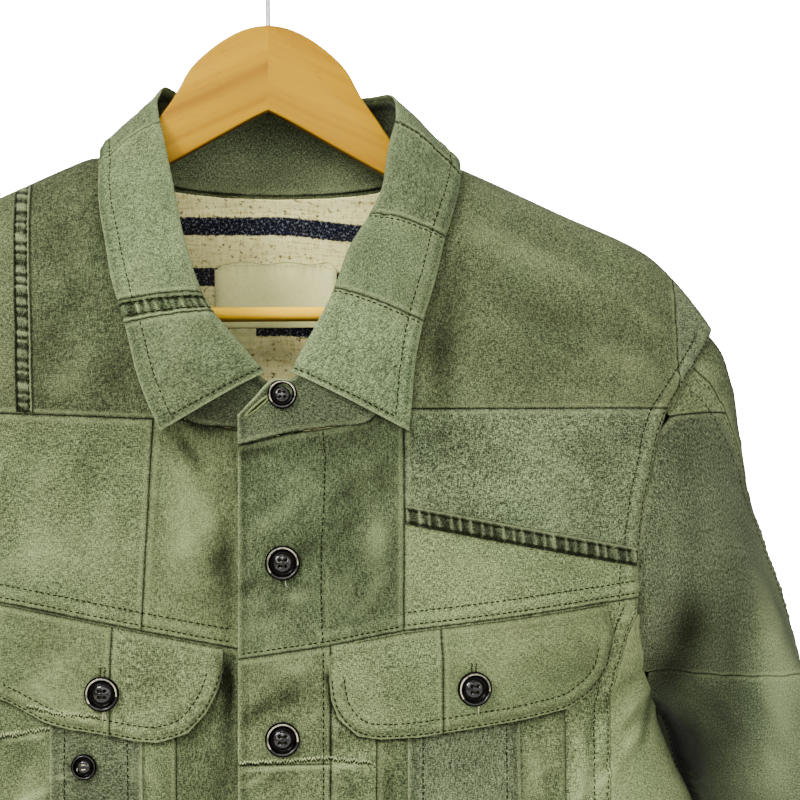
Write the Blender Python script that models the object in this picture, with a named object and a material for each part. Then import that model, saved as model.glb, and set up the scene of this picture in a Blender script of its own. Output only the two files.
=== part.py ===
"""A patchwork jacket of washed canvas, hanging buttoned from a wooden hanger.

Metres, +Z up, +X the wearer's left, the front facing -Y.
The origin is the inside top of the hanger's hook, where a rail carries it.
"""

import math

import bmesh
import bpy
import numpy as np
from mathutils import Matrix, Vector

# ---------------------------------------------------------------- driving sizes
CENTRE_X = 0.005          # the jacket hangs this far to one side of the hook
WALL = 0.0015             # washed canvas, with its turnings
SEAM_GAP = 0.0003         # between neighbouring pieces
LAY_GAP = 0.0008          # between a panel and what lies on it
FRONT_DEPTH = 0.072       # from the shoulder ridge forward to the chest
BACK_DEPTH = 0.066
SHOULDER_DROP = 0.200     # the chest is full this far below the shoulder line
RIDGE_POWER = 0.60        # how round the shoulder ridge is
SIDE_POWER = 2.5          # how flat the front is before it turns to the side
HEM_Z = -0.790
UNDERARM_Z = -0.445
BACK_YOKE_Z = -0.312
STACK = WALL + LAY_GAP    # how far a second layer stands off the first

PLACKET_LEFT = -0.0209    # free edge of the buttoned front
PLACKET_RIGHT = 0.0265
UNDERLAP = 0.0190         # the right front ends here, under the placket
PLACKET_RAMP = 0.0480     # from here the left front lies at its own level

BUTTON_RADIUS = 0.0090
BUTTON_HEIGHT = 0.0032
BUTTON_CORNERS = 20
# share of the radius, share of the height
BUTTON_PROFILE = (
    (0.00, 0.00),
    (0.80, 0.00),
    (1.00, 0.35),
    (1.00, 0.75),
    (0.90, 1.00),
    (0.74, 0.86),
    (0.62, 0.62),
    (0.00, 0.55),
)
BUTTON_X = 0.0018
BUTTON_PITCH = 0.0900
FIRST_BUTTON_Z = -0.3600
FRONT_BUTTONS = 5
STAND_BUTTON = (0.0016, -0.2745)
STAND_BUTTON_RADIUS = 0.0076
STAND_BUTTON_LIFT = 0.0044   # the stand rises off the body towards its fold
BUTTON_SEAT = 0.0006      # clearance under a button on the bent cloth
FLAP_BUTTONS = {"left": (0.0990, -0.4250), "right": (-0.0887, -0.4260)}
POCKET_BUTTON = (-0.0980, -0.4636)
POCKET_BUTTON_RADIUS = 0.0066

# ---------------------------------------------------------------- body tables
# shoulder line: x, z
SHOULDER = (
    (0.000, -0.1280),
    (0.040, -0.1310),
    (0.080, -0.1440),
    (0.106, -0.1540),
    (0.154, -0.1757),
    (0.198, -0.1955),
    (0.216, -0.2108),
    (0.2375, -0.2380),
    (0.262, -0.2800),
)
# half width of the body's section: z, width
HALF_WIDTH = (
    (-0.790, 0.2320),
    (-0.620, 0.2330),
    (-0.530, 0.2310),
    (-0.4954, 0.2258),
    (-0.479, 0.2178),
    (-0.462, 0.2115),
    (-0.445, 0.2065),
    (-0.400, 0.2140),
    (-0.360, 0.2210),
    (-0.300, 0.2330),
    (-0.240, 0.2470),
    (-0.120, 0.2700),
)
# armhole: z, x on the front, x on the back
ARMHOLE = (
    (-0.4450, 0.2065, 0.2065),
    (-0.4350, 0.2010, 0.2045),
    (-0.4200, 0.1965, 0.2032),
    (-0.3985, 0.1925, 0.2030),
    (-0.3812, 0.1915, 0.2035),
    (-0.3608, 0.1910, 0.2045),
    (-0.3350, 0.1942, 0.2065),
    (-0.3120, 0.1985, 0.2095),
    (-0.2950, 0.2028, 0.2125),
    (-0.2812, 0.2078, 0.2160),
    (-0.2715, 0.2150, 0.2195),
    (-0.2570, 0.2262, 0.2270),
    (-0.2450, 0.2350, 0.2350),
    (-0.2380, 0.2375, 0.2375),
)
# front neckline, from the shoulder seam down to the placket's edge: x, z
NECKLINE = (
    (0.0805, -0.1442),
    (0.0802, -0.1480),
    (0.0790, -0.1650),
    (0.0775, -0.1850),
    (0.0755, -0.2050),
    (0.0725, -0.2250),
    (0.0680, -0.2450),
    (0.0610, -0.2640),
    (0.0480, -0.2870),
    (0.0250, -0.2914),
    (0.0036, -0.2945),
    (-0.0125, -0.2985),
    (-0.0209, -0.3003),
)
NECK_SIDE = 9             # its corners that run down the side of the neck
NECK_CORNER_X = -0.0490   # the right shoulder patch is as long as its seam is here
# back neckline, from the shoulder seam to the centre back: x, z
BACK_NECKLINE = (
    (0.0805, -0.1442),
    (0.0785, -0.1475),
    (0.0700, -0.1550),
    (0.0560, -0.1600),
    (0.0300, -0.1630),
    (0.0000, -0.1640),
)

# seams that bound the patches: x, z
YOKE_SEAM_LEFT = (
    (-0.0209, -0.4092),
    (0.0265, -0.4025),
    (0.0645, -0.3955),
    (0.1230, -0.3893),
    (0.1915, -0.3812),
)
YOKE_SEAM_RIGHT = (
    (-0.1915, -0.3735),
    (-0.1430, -0.3806),
    (-0.1030, -0.3883),
    (-0.0700, -0.3948),
    (-0.0209, -0.4040),
    (0.0265, -0.4125),
)
SHOULDER_END_Z = -0.238   # where the armhole meets the shoulder ridge
CHEST_SEAM_LEFT_Z = -0.2812
CHEST_SEAM_RIGHT = ((-0.2078, -0.2812), (-0.0643, -0.2865), (0.0, -0.2865))
TIP_SEAM_X = 0.2150
TIP_FOOT_Z = -0.2715
TIP_PATCH_FOOT_Z = -0.2700
CENTRE_SEAM_LEFT_X = 0.0645
LEFT_FELL = ((0.0645, -0.3362), (0.1910, -0.3608))
FELL_WIDTH = 0.0088
FELL_END_X = 0.1890
FELL_HEAD_GAP = 0.0030
FELL_FOOT_GAP = 0.0010
# seams read down the front: z, x
CENTRE_SEAM_RIGHT = ((-0.3970, -0.0703), (-0.2865, -0.0643))
RIGHT_FELL = ((-0.2830, -0.1303), (-0.1700, -0.1350))
PLACKET_JOIN_Z = -0.4630
SIDE_SEAM = (
    (-0.7900, 0.1700),
    (-0.4954, 0.1742),
    (-0.4450, 0.1755),
    (-0.4350, 0.1766),
    (-0.4200, 0.1795),
    (-0.3985, 0.1862),
    (-0.3900, 0.1900),
    (-0.3812, 0.1915),
)
SIDE_HEAD_Z = -0.3900

# pockets under the flaps: left edge, right edge, pleat's left, pleat's right
POCKETS = {
    "left": (0.0498, 0.1500, 0.0658, 0.1240),
    "right": (-0.1460, -0.0520, -0.1158, -0.0690),
}
POCKET_HEAD_Z = -0.4280
POCKET_FOOT_Z = -0.6000
PLEAT_INSET = 0.0010
FLAP_HEAD_GAP = 0.0010
# flap outlines below the yoke seam: x, z
FLAP_LEFT = (
    (0.0254, -0.4180),
    (0.0264, -0.4297),
    (0.0305, -0.4399),
    (0.0402, -0.4487),
    (0.0520, -0.4504),
    (0.0716, -0.4497),
    (0.0835, -0.4480),
    (0.1049, -0.4450),
    (0.1239, -0.4425),
    (0.1493, -0.4375),
    (0.1631, -0.4289),
    (0.1704, -0.4182),
    (0.1730, -0.4052),
)
FLAP_RIGHT = (
    (-0.1700, -0.4000),
    (-0.1670, -0.4100),
    (-0.1580, -0.4200),
    (-0.1425, -0.4288),
    (-0.1299, -0.4346),
    (-0.1175, -0.4415),
    (-0.1073, -0.4443),
    (-0.0850, -0.4476),
    (-0.0731, -0.4501),
    (-0.0609, -0.4511),
    (-0.0462, -0.4465),
    (-0.0366, -0.4358),
    (-0.0310, -0.4247),
    (-0.0285, -0.4150),
)
FLAP_SEAMS = {"left": 0.0835, "right": -0.0850}

# ---------------------------------------------------------------- collar tables
# sections of the collar from the centre back to the front corner
# neck_x, neck_z, fold_x, fold_y, fold_z, edge_x, edge_z
COLLAR_LEFT = (
    (0.0000, -0.1640, 0.0000, 0.0430, -0.1100, 0.0000, -0.1800),
    (0.0300, -0.1630, 0.0290, 0.0390, -0.1095, 0.0420, -0.1790),
    (0.0560, -0.1600, 0.0500, 0.0250, -0.1095, 0.0810, -0.1700),
    (0.0700, -0.1550, 0.0585, 0.0130, -0.1120, 0.0960, -0.1610),
    (0.0785, -0.1475, 0.0612, 0.0060, -0.1145, 0.0990, -0.1545),
    (0.0805, -0.1442, 0.0625, -0.0010, -0.1175, 0.1000, -0.1515),
    (0.0802, -0.1480, 0.0632, -0.0075, -0.1220, 0.0990, -0.1550),
    (0.0790, -0.1650, 0.0630, -0.0140, -0.1270, 0.0970, -0.1600),
    (0.0775, -0.1850, 0.0580, -0.0270, -0.1440, 0.0940, -0.1730),
    (0.0755, -0.2050, 0.0545, -0.0390, -0.1640, 0.0900, -0.1850),
    (0.0740, -0.2150, 0.0475, -0.0470, -0.1790, 0.0870, -0.1930),
    (0.0725, -0.2250, 0.0365, -0.0560, -0.1970, 0.0815, -0.2140),
    (0.0680, -0.2450, 0.0285, -0.0630, -0.2190, 0.0745, -0.2370),
    (0.0610, -0.2640, 0.0200, -0.0690, -0.2360, 0.0705, -0.2580),
    (0.0480, -0.2870, 0.0115, -0.0725, -0.2510, 0.0685, -0.2770),
    (0.0250, -0.2914, 0.0055, -0.0745, -0.2620, 0.0667, -0.2930),
)
COLLAR_RIGHT = (
    (0.0000, -0.1640, 0.0000, 0.0430, -0.1100, 0.0000, -0.1800),
    (-0.0300, -0.1630, -0.0290, 0.0390, -0.1090, -0.0420, -0.1790),
    (-0.0560, -0.1600, -0.0510, 0.0250, -0.1085, -0.0810, -0.1700),
    (-0.0700, -0.1550, -0.0600, 0.0130, -0.1110, -0.0965, -0.1610),
    (-0.0785, -0.1475, -0.0625, 0.0060, -0.1150, -0.0995, -0.1545),
    (-0.0805, -0.1442, -0.0640, -0.0010, -0.1190, -0.1005, -0.1520),
    (-0.0802, -0.1480, -0.0635, -0.0075, -0.1235, -0.0990, -0.1550),
    (-0.0790, -0.1650, -0.0620, -0.0140, -0.1290, -0.0960, -0.1600),
    (-0.0775, -0.1850, -0.0580, -0.0290, -0.1470, -0.0935, -0.1780),
    (-0.0755, -0.2050, -0.0540, -0.0410, -0.1680, -0.0905, -0.1935),
    (-0.0725, -0.2250, -0.0490, -0.0510, -0.1930, -0.0870, -0.2110),
    (-0.0680, -0.2450, -0.0395, -0.0600, -0.2215, -0.0825, -0.2270),
    (-0.0610, -0.2640, -0.0335, -0.0640, -0.2315, -0.0790, -0.2380),
    (-0.0480, -0.2870, -0.0190, -0.0700, -0.2480, -0.0710, -0.2680),
    (-0.0250, -0.2914, -0.0067, -0.0735, -0.2620, -0.0605, -0.2930),
)
COLLAR_PIECES = (
    ("collar_right_tip", -14, -12, "leaf"),
    ("collar_right_fell", -12, -11, "moss"),
    ("collar_right_upper", -11, -7, "leaf"),
    ("collar_back", -7, 7, "leaf"),
    ("collar_left_upper", 7, 10, "leaf"),
    ("collar_left_middle", 10, 12, "sage"),
    ("collar_left_tip", 12, 15, "straw_green"),
)
LEAF_ROWS = (0.0, 0.12, 0.3, 0.5, 0.75, 1.0)
STAND_ROWS = (0.0, 0.35, 0.7, 1.0)
BACK_SECTIONS = 5         # the sections before the shoulder seam lie on the back
COLLAR_LIFT = 0.0042      # the leaf's outer face over the cloth below it
COLLAR_BULGE = 0.0100     # the leaf's rise off the line from fold to edge
LEAF_OVER_STAND = 0.0040  # the stand ends this far below the fold
NECK_GAP = 0.0004
NECK_HEART_Y = -0.010     # the collar's faces look away from a point inside the neck
NECK_HEART_DROP = 0.050
# the stand's ends past the front corners: neck_x, neck_z, top_x, top_z
STAND_LEFT_END = (
    (0.0036, -0.2945, -0.0035, -0.2670),
    (-0.0125, -0.2985, -0.0130, -0.2765),
    (-0.0209, -0.3003, -0.0209, -0.2850),
)
STAND_RIGHT_END = ((-0.0036, -0.2945, 0.0010, -0.2695), (0.0125, -0.2985, 0.0125, -0.2760))

# ---------------------------------------------------------------- sleeve tables
# rings below the cap: z, centre x, centre y, half width, half depth
SLEEVE_RINGS = (
    (-0.845, 0.3080, -0.0070, 0.0305, 0.0585),
    (-0.790, 0.3050, -0.0040, 0.0315, 0.0600),
    (-0.720, 0.3000, 0.0010, 0.0330, 0.0640),
    (-0.640, 0.2930, 0.0060, 0.0350, 0.0680),
    (-0.560, 0.2825, 0.0090, 0.0365, 0.0715),
    (-0.500, 0.2700, 0.0100, 0.0370, 0.0740),
)
CUFF_Z = -0.790
FIRST_RING_Z = -0.500
SLEEVE_END_Z = -0.845
CUFF_ALONG = 1 + (CUFF_Z - FIRST_RING_Z) / (SLEEVE_END_Z - FIRST_RING_Z)
SLEEVE_ROWS = (0.2, 0.4, 0.6, 0.8, 1.0, 1.2, 1.42, 1.64)
CUFF_WALL = 0.0026
CUFF_PROUD = 0.0008       # the cuff's outer face over the sleeve's
CUFF_CORNERS = 28
OUTER_SEAM, UNDER_SEAM = 0.055, 0.500   # turns round the sleeve: 0 outside, a quarter in front
TURN_GAP = 0.012          # closest that two of the sleeve's long edges come, in turns
SLEEVE_START = 0.003      # the sleeve starts this share of the cap past the armhole
CAP_SEAM_Z = -0.2757      # where the cap patch's seam meets the armhole
CAP_SEAM_ALONG = (0.120, 0.022)
PIECED_SEAM_Z = -0.4220
PIECED_SEAM_RISE = 0.0060
SLEEVE_TURN = math.radians(18.0)   # the flattened sleeve's front edge is turned outward
RING_POWER = 0.9                   # a little squarer than an ellipse
RING_SLOPE = 0.12                  # rise of a ring from its centre to its outer side
CAP_LEAN = 0.25                    # outward lean of the cap where it meets the first ring
CAP_REACH = 0.50

# ---------------------------------------------------------------- hanger tables
HANGER_HALF_THICKNESS = 0.0058
HANGER_ROUND = 0.0034
# half outline of the wooden frame, from the crown along the top, round the end and back: x, z
HANGER_OUTLINE = (
    (0.0000, -0.0750),
    (0.0100, -0.0763),
    (0.0160, -0.0800),
    (0.0290, -0.0890),
    (0.0440, -0.1050),
    (0.0485, -0.1110),
    (0.0580, -0.1245),
    (0.0671, -0.1380),
    (0.0760, -0.1500),
    (0.0860, -0.1546),
    (0.1010, -0.1604),
    (0.1490, -0.1820),
    (0.1850, -0.1985),
    (0.1930, -0.2050),
    (0.1975, -0.2150),
    (0.1975, -0.2280),
    (0.1920, -0.2400),
    (0.1640, -0.2420),
    (0.1590, -0.2380),
    (0.1590, -0.2220),
    (0.1300, -0.1940),
    (0.0900, -0.1700),
    (0.0450, -0.1455),
    (0.0120, -0.1270),
    (0.0000, -0.1210),
)
BAR_Z = -0.2305
BAR_RADIUS = 0.0040
BAR_HALF_LENGTH = 0.1587
BAR_CORNERS = 16
HOOK_WIRE = 0.00125
HOOK_RADIUS = 0.0190
# centre line of the hook: turn round its centre in degrees, then the shank: x, z
HOOK_ARC = (205, -50)
HOOK_STEPS = 22
HOOK_SHANK = ((0.0060, -0.0430), (0.0008, -0.0500), (0.0000, -0.0570), (0.0000, -0.0747))

# sewn to the lining: left, right, head, foot
LABEL = (-0.0348, 0.0340, -0.1985, -0.2350)
TAB = (-0.0265, -0.0114, -0.2354, -0.2470)
LINING_HALF_WIDTH = 0.170
LINING_FOOT_Z = -0.400
LINING_HEAD_GAP = 0.0010
LINING_DIP = 0.0140       # it dips under the shoulders, clear of the hanger
LINING_DIP_START = 0.060
LINING_DIP_RUN = 0.020
LINING_WALL = 0.0010
LINING_GAP = 0.0013       # lining and labels hang a little free
LABEL_WALL = 0.0006

# sRGB, by cloth
COLOURS = {
    "olive": (0.43, 0.45, 0.31),
    "sage": (0.48, 0.53, 0.39),
    "leaf": (0.49, 0.56, 0.41),
    "moss": (0.41, 0.46, 0.33),
    "grey_green": (0.45, 0.49, 0.39),
    "straw_green": (0.53, 0.57, 0.42),
    "cream": (0.86, 0.84, 0.76),
    "horn": (0.10, 0.09, 0.09),
    "wood": (0.83, 0.63, 0.36),
    "steel": (0.70, 0.70, 0.71),
}


# ---------------------------------------------------------------- small tools
def smooth(rows, key, column=1):
    """A value of a table read through a smooth curve."""
    keys = [row[0] for row in rows]
    if key <= keys[0]:
        return rows[0][column]
    if key >= keys[-1]:
        return rows[-1][column]
    i = max(j for j, k in enumerate(keys[:-1]) if k <= key)
    span = keys[i + 1] - keys[i]
    t = (key - keys[i]) / span
    values = [row[column] for row in rows]

    def slope(j):
        low, high = max(j - 1, 0), min(j + 1, len(rows) - 1)
        return (values[high] - values[low]) / (keys[high] - keys[low])

    a, b = values[i], values[i + 1]
    m, n = slope(i) * span, slope(i + 1) * span
    return (
        (2 * t**3 - 3 * t**2 + 1) * a
        + (t**3 - 2 * t**2 + t) * m
        + (3 * t**2 - 2 * t**3) * b
        + (t**3 - t**2) * n
    )


def straight(rows, key, column=1):
    """A value of a table read along straight lines between its rows."""
    return float(np.interp(key, [row[0] for row in rows], [row[column] for row in rows]))


def swapped(rows):
    """The rows of an x, z table as z, x, lowest first."""
    return tuple(sorted((z, x) for x, z in rows))


def ease(t):
    t = min(max(t, 0.0), 1.0)
    return t * t * (3 - 2 * t)


def shares(count, power=1.0):
    return [(i / count) ** power for i in range(count + 1)]


def unit(vector):
    length = np.linalg.norm(vector)
    return vector / length if length else vector


# ---------------------------------------------------------------- materials and meshes
def material(name, colour, roughness=0.9, metallic=0.0):
    made = bpy.data.materials.new(name)
    made.use_nodes = True
    shader = made.node_tree.nodes["Principled BSDF"]
    linear = [c / 12.92 if c <= 0.04045 else ((c + 0.055) / 1.055) ** 2.4 for c in COLOURS[colour]]
    shader.inputs["Base Color"].default_value = (*linear, 1.0)
    shader.inputs["Roughness"].default_value = roughness
    shader.inputs["Metallic"].default_value = metallic
    return made


def add_object(name, vertices, faces, colour, roughness=0.9, metallic=0.0):
    mesh = bpy.data.meshes.new(name)
    mesh.from_pydata([tuple(v) for v in vertices], [], faces)
    mesh.validate()
    made = bpy.data.objects.new(name, mesh)
    bpy.context.scene.collection.objects.link(made)
    mesh.materials.append(material(name, colour, roughness, metallic))
    mesh.shade_smooth()
    mesh.set_sharp_from_angle(angle=math.radians(40))
    return made


def inset(points, amount=SEAM_GAP / 2):
    """Draws the rim of a grid of points in by half a seam gap."""
    moved = points.copy()
    for rim, inner in ((0, 1), (-1, -2)):
        moved[rim] += np.apply_along_axis(unit, 1, points[inner] - points[rim]) * amount
    points = moved.copy()
    for rim, inner in ((0, 1), (-1, -2)):
        moved[:, rim] += np.apply_along_axis(unit, 1, points[:, inner] - points[:, rim]) * amount
    return moved


def sheet(name, points, normals, colour, wall=WALL, turned=False):
    """A closed wall of cloth from a grid of its outer points."""
    points = inset(points)
    rows, columns = points.shape[:2]
    inner = points - normals * wall
    vertices = [*points.reshape(-1, 3), *inner.reshape(-1, 3)]
    lower = rows * columns

    def at(i, j):
        return i * columns + j

    faces = []
    for i in range(rows - 1):
        for j in range(columns - 1):
            quad = (at(i, j), at(i + 1, j), at(i + 1, j + 1), at(i, j + 1))
            faces.append(quad)
            faces.append(tuple(lower + k for k in reversed(quad)))
    rim = [at(0, j) for j in range(columns)]
    rim += [at(i, columns - 1) for i in range(1, rows)]
    rim += [at(rows - 1, j) for j in range(columns - 2, -1, -1)]
    rim += [at(i, 0) for i in range(rows - 2, 0, -1)]
    for a, b in zip(rim, rim[1:] + rim[:1]):
        faces.append((a, b, lower + b, lower + a))
    if turned:
        faces = [tuple(reversed(face)) for face in faces]
    placed = [v + np.array((CENTRE_X, 0, 0)) for v in vertices]
    return add_object(name, placed, faces, colour)


# ---------------------------------------------------------------- the body's surface
def shoulder_z(x):
    return smooth(SHOULDER, abs(x))


def half_width(z):
    return smooth(HALF_WIDTH, z)


def body_point(turn, z, face):
    """A point of the body; turn is the angle round the section, face -1 in front and 1 behind."""
    width = half_width(z)
    x = width * math.sin(turn)
    fallen = min(max((shoulder_z(x) - z) / SHOULDER_DROP, 0.0), 1.0)
    rise = (1 - (1 - fallen) ** 2) ** RIDGE_POWER
    flat = max(1 - abs(math.sin(turn)) ** SIDE_POWER, 0.0) ** 0.5
    depth = FRONT_DEPTH if face < 0 else BACK_DEPTH
    return np.array((x, face * (SEAM_GAP / 2 + depth * rise * flat), z))


def body_normal(turn, z, face):
    step, drop = 1e-4, 1e-5
    ceiling = shoulder_z(half_width(z) * math.sin(turn)) - drop
    low = min(z, ceiling) - drop
    across = body_point(turn + step, low, face) - body_point(turn - step, low, face)
    down = body_point(turn, low - drop, face) - body_point(turn, low + drop, face)
    return unit(np.cross(across, down) * face)


def turn_of(x, z):
    return math.asin(min(max(x / half_width(z), -1.0), 1.0))


def on_body(x, z, face, lift=0.0):
    turn = turn_of(x, z)
    return body_point(turn, z, face) + body_normal(turn, z, face) * lift


def region(seams, columns, rows, face, lift, rounded):
    """A grid over the body between four seams: left and right of z, top and bottom of x."""
    left, right, top, bottom = seams
    points = np.zeros((len(rows), len(columns), 3))
    normals = np.zeros_like(points)
    for i, b in enumerate(rows):
        for j, a in enumerate(columns):
            z, turn = -0.3, 0.0
            for _ in range(24):
                if rounded:
                    low, high = turn_of(left(z), z), turn_of(right(z), z)
                    turn = low + (high - low) * a
                else:
                    turn = turn_of(left(z) + (right(z) - left(z)) * a, z)
                x = half_width(z) * math.sin(turn)
                z = 0.5 * z + 0.5 * (top(x) + (bottom(x) - top(x)) * b)
            normals[i, j] = body_normal(turn, z, face)
            points[i, j] = body_point(turn, z, face) + normals[i, j] * lift(x)
    return points, normals


def armhole_x(z, face):
    return straight(ARMHOLE, z, 1 if face < 0 else 2)


def placket_lift(x):
    """The buttoned front lies over the other one and comes back to its own level."""
    return STACK * ease((PLACKET_RAMP - x) / (PLACKET_RAMP - PLACKET_RIGHT))


def layer(count):
    return lambda x: count * STACK


def layer_inside(depth):
    return lambda x: -depth


def fixed(value):
    return lambda _: value


def table(rows):
    return lambda key: straight(rows, key)


def parts_of(values):
    """Values along a side as shares of it."""
    return [(value - values[0]) / (values[-1] - values[0]) for value in values]


def body_piece(name, seams, columns, rows, colour, face=-1, lift=layer(0), wall=WALL, rounded=False):
    columns = shares(columns) if isinstance(columns, int) else columns
    rows = shares(rows) if isinstance(rows, int) else rows
    points, normals = region(seams, columns, rows, face, lift, rounded)
    return sheet(name, points, normals, colour, wall, turned=face > 0)


# ---------------------------------------------------------------- fronts
RIDGE_ROWS = (0.0, 0.004, 0.020, 0.060)   # close rows where the cloth bends over the shoulder
SIDE_ROWS = parts_of(
    (-0.390, -0.3985, -0.420, -0.435, -0.445, -0.462, -0.479, -0.4954, -0.53, -0.60, -0.69, HEM_Z)
)


def neck_rows(foot):
    """Rows through the neckline's own corners."""
    corners = [z for _, z in NECKLINE[: NECK_SIDE - 1]]
    return (*RIDGE_ROWS, *parts_of([*corners, foot])[1:])


def lower_rows(head):
    """Rows through the side seam's own corners."""
    return parts_of((head, -0.39, -0.3985, -0.42, -0.435, -0.445, -0.4954, -0.56, -0.63, -0.71, HEM_Z))


def front_neck_x(z):
    return straight(swapped(NECKLINE[:NECK_SIDE]), z)


def front_neck_z(x):
    return straight(tuple(sorted(NECKLINE)), x)


def front_armhole(z):
    return armhole_x(z, -1)


def side_seam_x(z):
    return straight(SIDE_SEAM, z)


def side_edge(z):
    """The outer edge of a front: the armhole, and below it the side seam."""
    return armhole_x(z, -1) if z > UNDERARM_Z else half_width(z)


def back_edge(z):
    return armhole_x(z, 1) if z > UNDERARM_Z else half_width(z)


def mirrored(edge):
    return lambda key: -edge(key)


def armhole_rows(top, bottom):
    nodes = [row[0] for row in reversed(ARMHOLE) if bottom < row[0] < top]
    return parts_of([top, *nodes, bottom])


def make_left_front():
    yoke, fell = table(YOKE_SEAM_LEFT), table(LEFT_FELL)
    chest = fixed(CHEST_SEAM_LEFT_Z)
    centre = fixed(CENTRE_SEAM_LEFT_X)
    tip = table(((CHEST_SEAM_LEFT_Z, front_armhole(CHEST_SEAM_LEFT_Z)), (TIP_FOOT_Z, TIP_SEAM_X)))
    rows = neck_rows(CHEST_SEAM_LEFT_Z)
    body_piece("front_left_shoulder", (front_neck_x, tip, shoulder_z, chest), 6, rows, "olive")
    edges = (fixed(TIP_SEAM_X), front_armhole, shoulder_z, fixed(TIP_PATCH_FOOT_Z))
    rows = sorted({*RIDGE_ROWS, *armhole_rows(SHOULDER_END_Z, TIP_PATCH_FOOT_Z)})
    body_piece("front_left_shoulder_tip", edges, 2, rows, "moss")
    rows = armhole_rows(CHEST_SEAM_LEFT_Z, LEFT_FELL[-1][1])
    body_piece("front_left_chest", (centre, front_armhole, chest, fell), 6, rows, "grey_green")
    body_piece("front_left_bust", (centre, front_armhole, fell, yoke), 6, 2, "sage")
    top = lambda x: fell(x) + FELL_WIDTH / 2
    foot = lambda x: fell(x) - FELL_WIDTH / 2
    body_piece("front_left_fell", (centre, fixed(FELL_END_X), top, foot), 8, 1, "moss", lift=layer(1))
    columns = parts_of((PLACKET_LEFT, -0.0125, 0.0036, 0.0250, 0.0370, 0.0480, CENTRE_SEAM_LEFT_X))
    edges = (fixed(PLACKET_LEFT), centre, centre_head, yoke)
    body_piece("front_left_centre", edges, columns, 4, "leaf", lift=placket_lift)
    placket = (fixed(PLACKET_LEFT), fixed(PLACKET_RIGHT))
    join, hem = fixed(PLACKET_JOIN_Z), fixed(HEM_Z)
    body_piece("front_left_placket_mid", (*placket, yoke, join), 2, 2, "sage", lift=placket_lift)
    body_piece("front_left_placket_low", (*placket, join, hem), 2, 7, "sage", lift=placket_lift)
    columns = (0.0, 0.14, 0.38, 0.62, 0.82, 1.0)
    edges = (fixed(PLACKET_RIGHT), side_seam_x, yoke, hem)
    rows = lower_rows(YOKE_SEAM_LEFT[-1][1])
    body_piece("front_left_lower", edges, columns, rows, "sage", lift=placket_lift)
    edges = (side_seam_x, side_edge, fixed(SIDE_HEAD_Z), hem)
    body_piece("front_left_side", edges, 4, SIDE_ROWS, "straw_green", rounded=True)


def centre_head(x):
    """The head of the centre patch: the neckline, then the seam below the shoulder patch."""
    return min(front_neck_z(x), CHEST_SEAM_LEFT_Z)


def make_right_front():
    yoke, chest, hem = table(YOKE_SEAM_RIGHT), table(CHEST_SEAM_RIGHT), fixed(HEM_Z)
    fell, centre = table(RIGHT_FELL), table(CENTRE_SEAM_RIGHT)
    armhole = mirrored(front_armhole)
    edges = (fell, mirrored(front_neck_x), shoulder_z, chest)
    body_piece("front_right_shoulder_in", edges, 4, neck_rows(chest(NECK_CORNER_X)), "olive")
    rows = sorted({*RIDGE_ROWS, *armhole_rows(SHOULDER_END_Z, CHEST_SEAM_RIGHT[0][1])})
    body_piece("front_right_shoulder_out", (armhole, fell, shoulder_z, chest), 5, rows, "olive")
    left = lambda z: fell(z) - FELL_WIDTH / 2
    right = lambda z: fell(z) + FELL_WIDTH / 2
    head = lambda x: shoulder_z(x) - FELL_HEAD_GAP
    foot = lambda x: chest(x) + FELL_FOOT_GAP
    rows = (0.0, 0.05, *shares(8)[1:])
    body_piece("front_right_fell", (left, right, head, foot), 1, rows, "moss", lift=layer(1))
    rows = armhole_rows(CHEST_SEAM_RIGHT[0][1], YOKE_SEAM_RIGHT[0][1])
    body_piece("front_right_chest_out", (armhole, centre, chest, yoke), 6, rows, "sage")
    columns = parts_of((CENTRE_SEAM_RIGHT[0][1], -0.0480, -0.0250, -0.0036, 0.0125, UNDERLAP))
    head = lambda x: min(front_neck_z(-x), chest(x))
    body_piece("front_right_chest_in", (centre, fixed(UNDERLAP), head, yoke), columns, 4, "straw_green")
    side = mirrored(side_seam_x)
    rows = lower_rows(YOKE_SEAM_RIGHT[0][1])
    body_piece("front_right_lower", (side, fixed(UNDERLAP), yoke, hem), 6, rows, "sage")
    edges = (mirrored(side_edge), side, fixed(SIDE_HEAD_Z), hem)
    body_piece("front_right_side", edges, 4, SIDE_ROWS, "straw_green", rounded=True)


def make_pockets():
    head, foot = fixed(POCKET_HEAD_Z), fixed(POCKET_FOOT_Z)
    for side, (left, right, pleat_left, pleat_right) in POCKETS.items():
        body_piece(f"pocket_{side}", (fixed(left), fixed(right), head, foot), 5, 5, "sage", lift=layer(1))
        pleat_head = fixed(POCKET_HEAD_Z - PLEAT_INSET)
        pleat_foot = fixed(POCKET_FOOT_Z + PLEAT_INSET)
        edges = (fixed(pleat_left), fixed(pleat_right), pleat_head, pleat_foot)
        body_piece(f"pocket_{side}_pleat", edges, 3, 5, "moss", lift=layer(2))


def make_flaps():
    for side, outline, yoke in (("left", FLAP_LEFT, YOKE_SEAM_LEFT), ("right", FLAP_RIGHT, YOKE_SEAM_RIGHT)):
        seam = FLAP_SEAMS[side]
        head = lambda x: straight(yoke, x) - FLAP_HEAD_GAP
        for half, (left, right) in (("low", (outline[0][0], seam)), ("high", (seam, outline[-1][0]))):
            columns = parts_of([left, *(x for x, _ in outline if left < x < right), right])
            inner = (half == "low") == (side == "left")
            name = f"flap_{side}_inner" if inner else f"flap_{side}_outer"
            edges = (fixed(left), fixed(right), head, table(outline))
            body_piece(name, edges, columns, 3, "sage" if inner else "straw_green", lift=layer(3))


# ---------------------------------------------------------------- back and lining
def back_neck_z(x):
    if abs(x) > BACK_NECKLINE[0][0]:
        return shoulder_z(x)
    return straight(tuple(sorted(BACK_NECKLINE)), abs(x))


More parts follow.
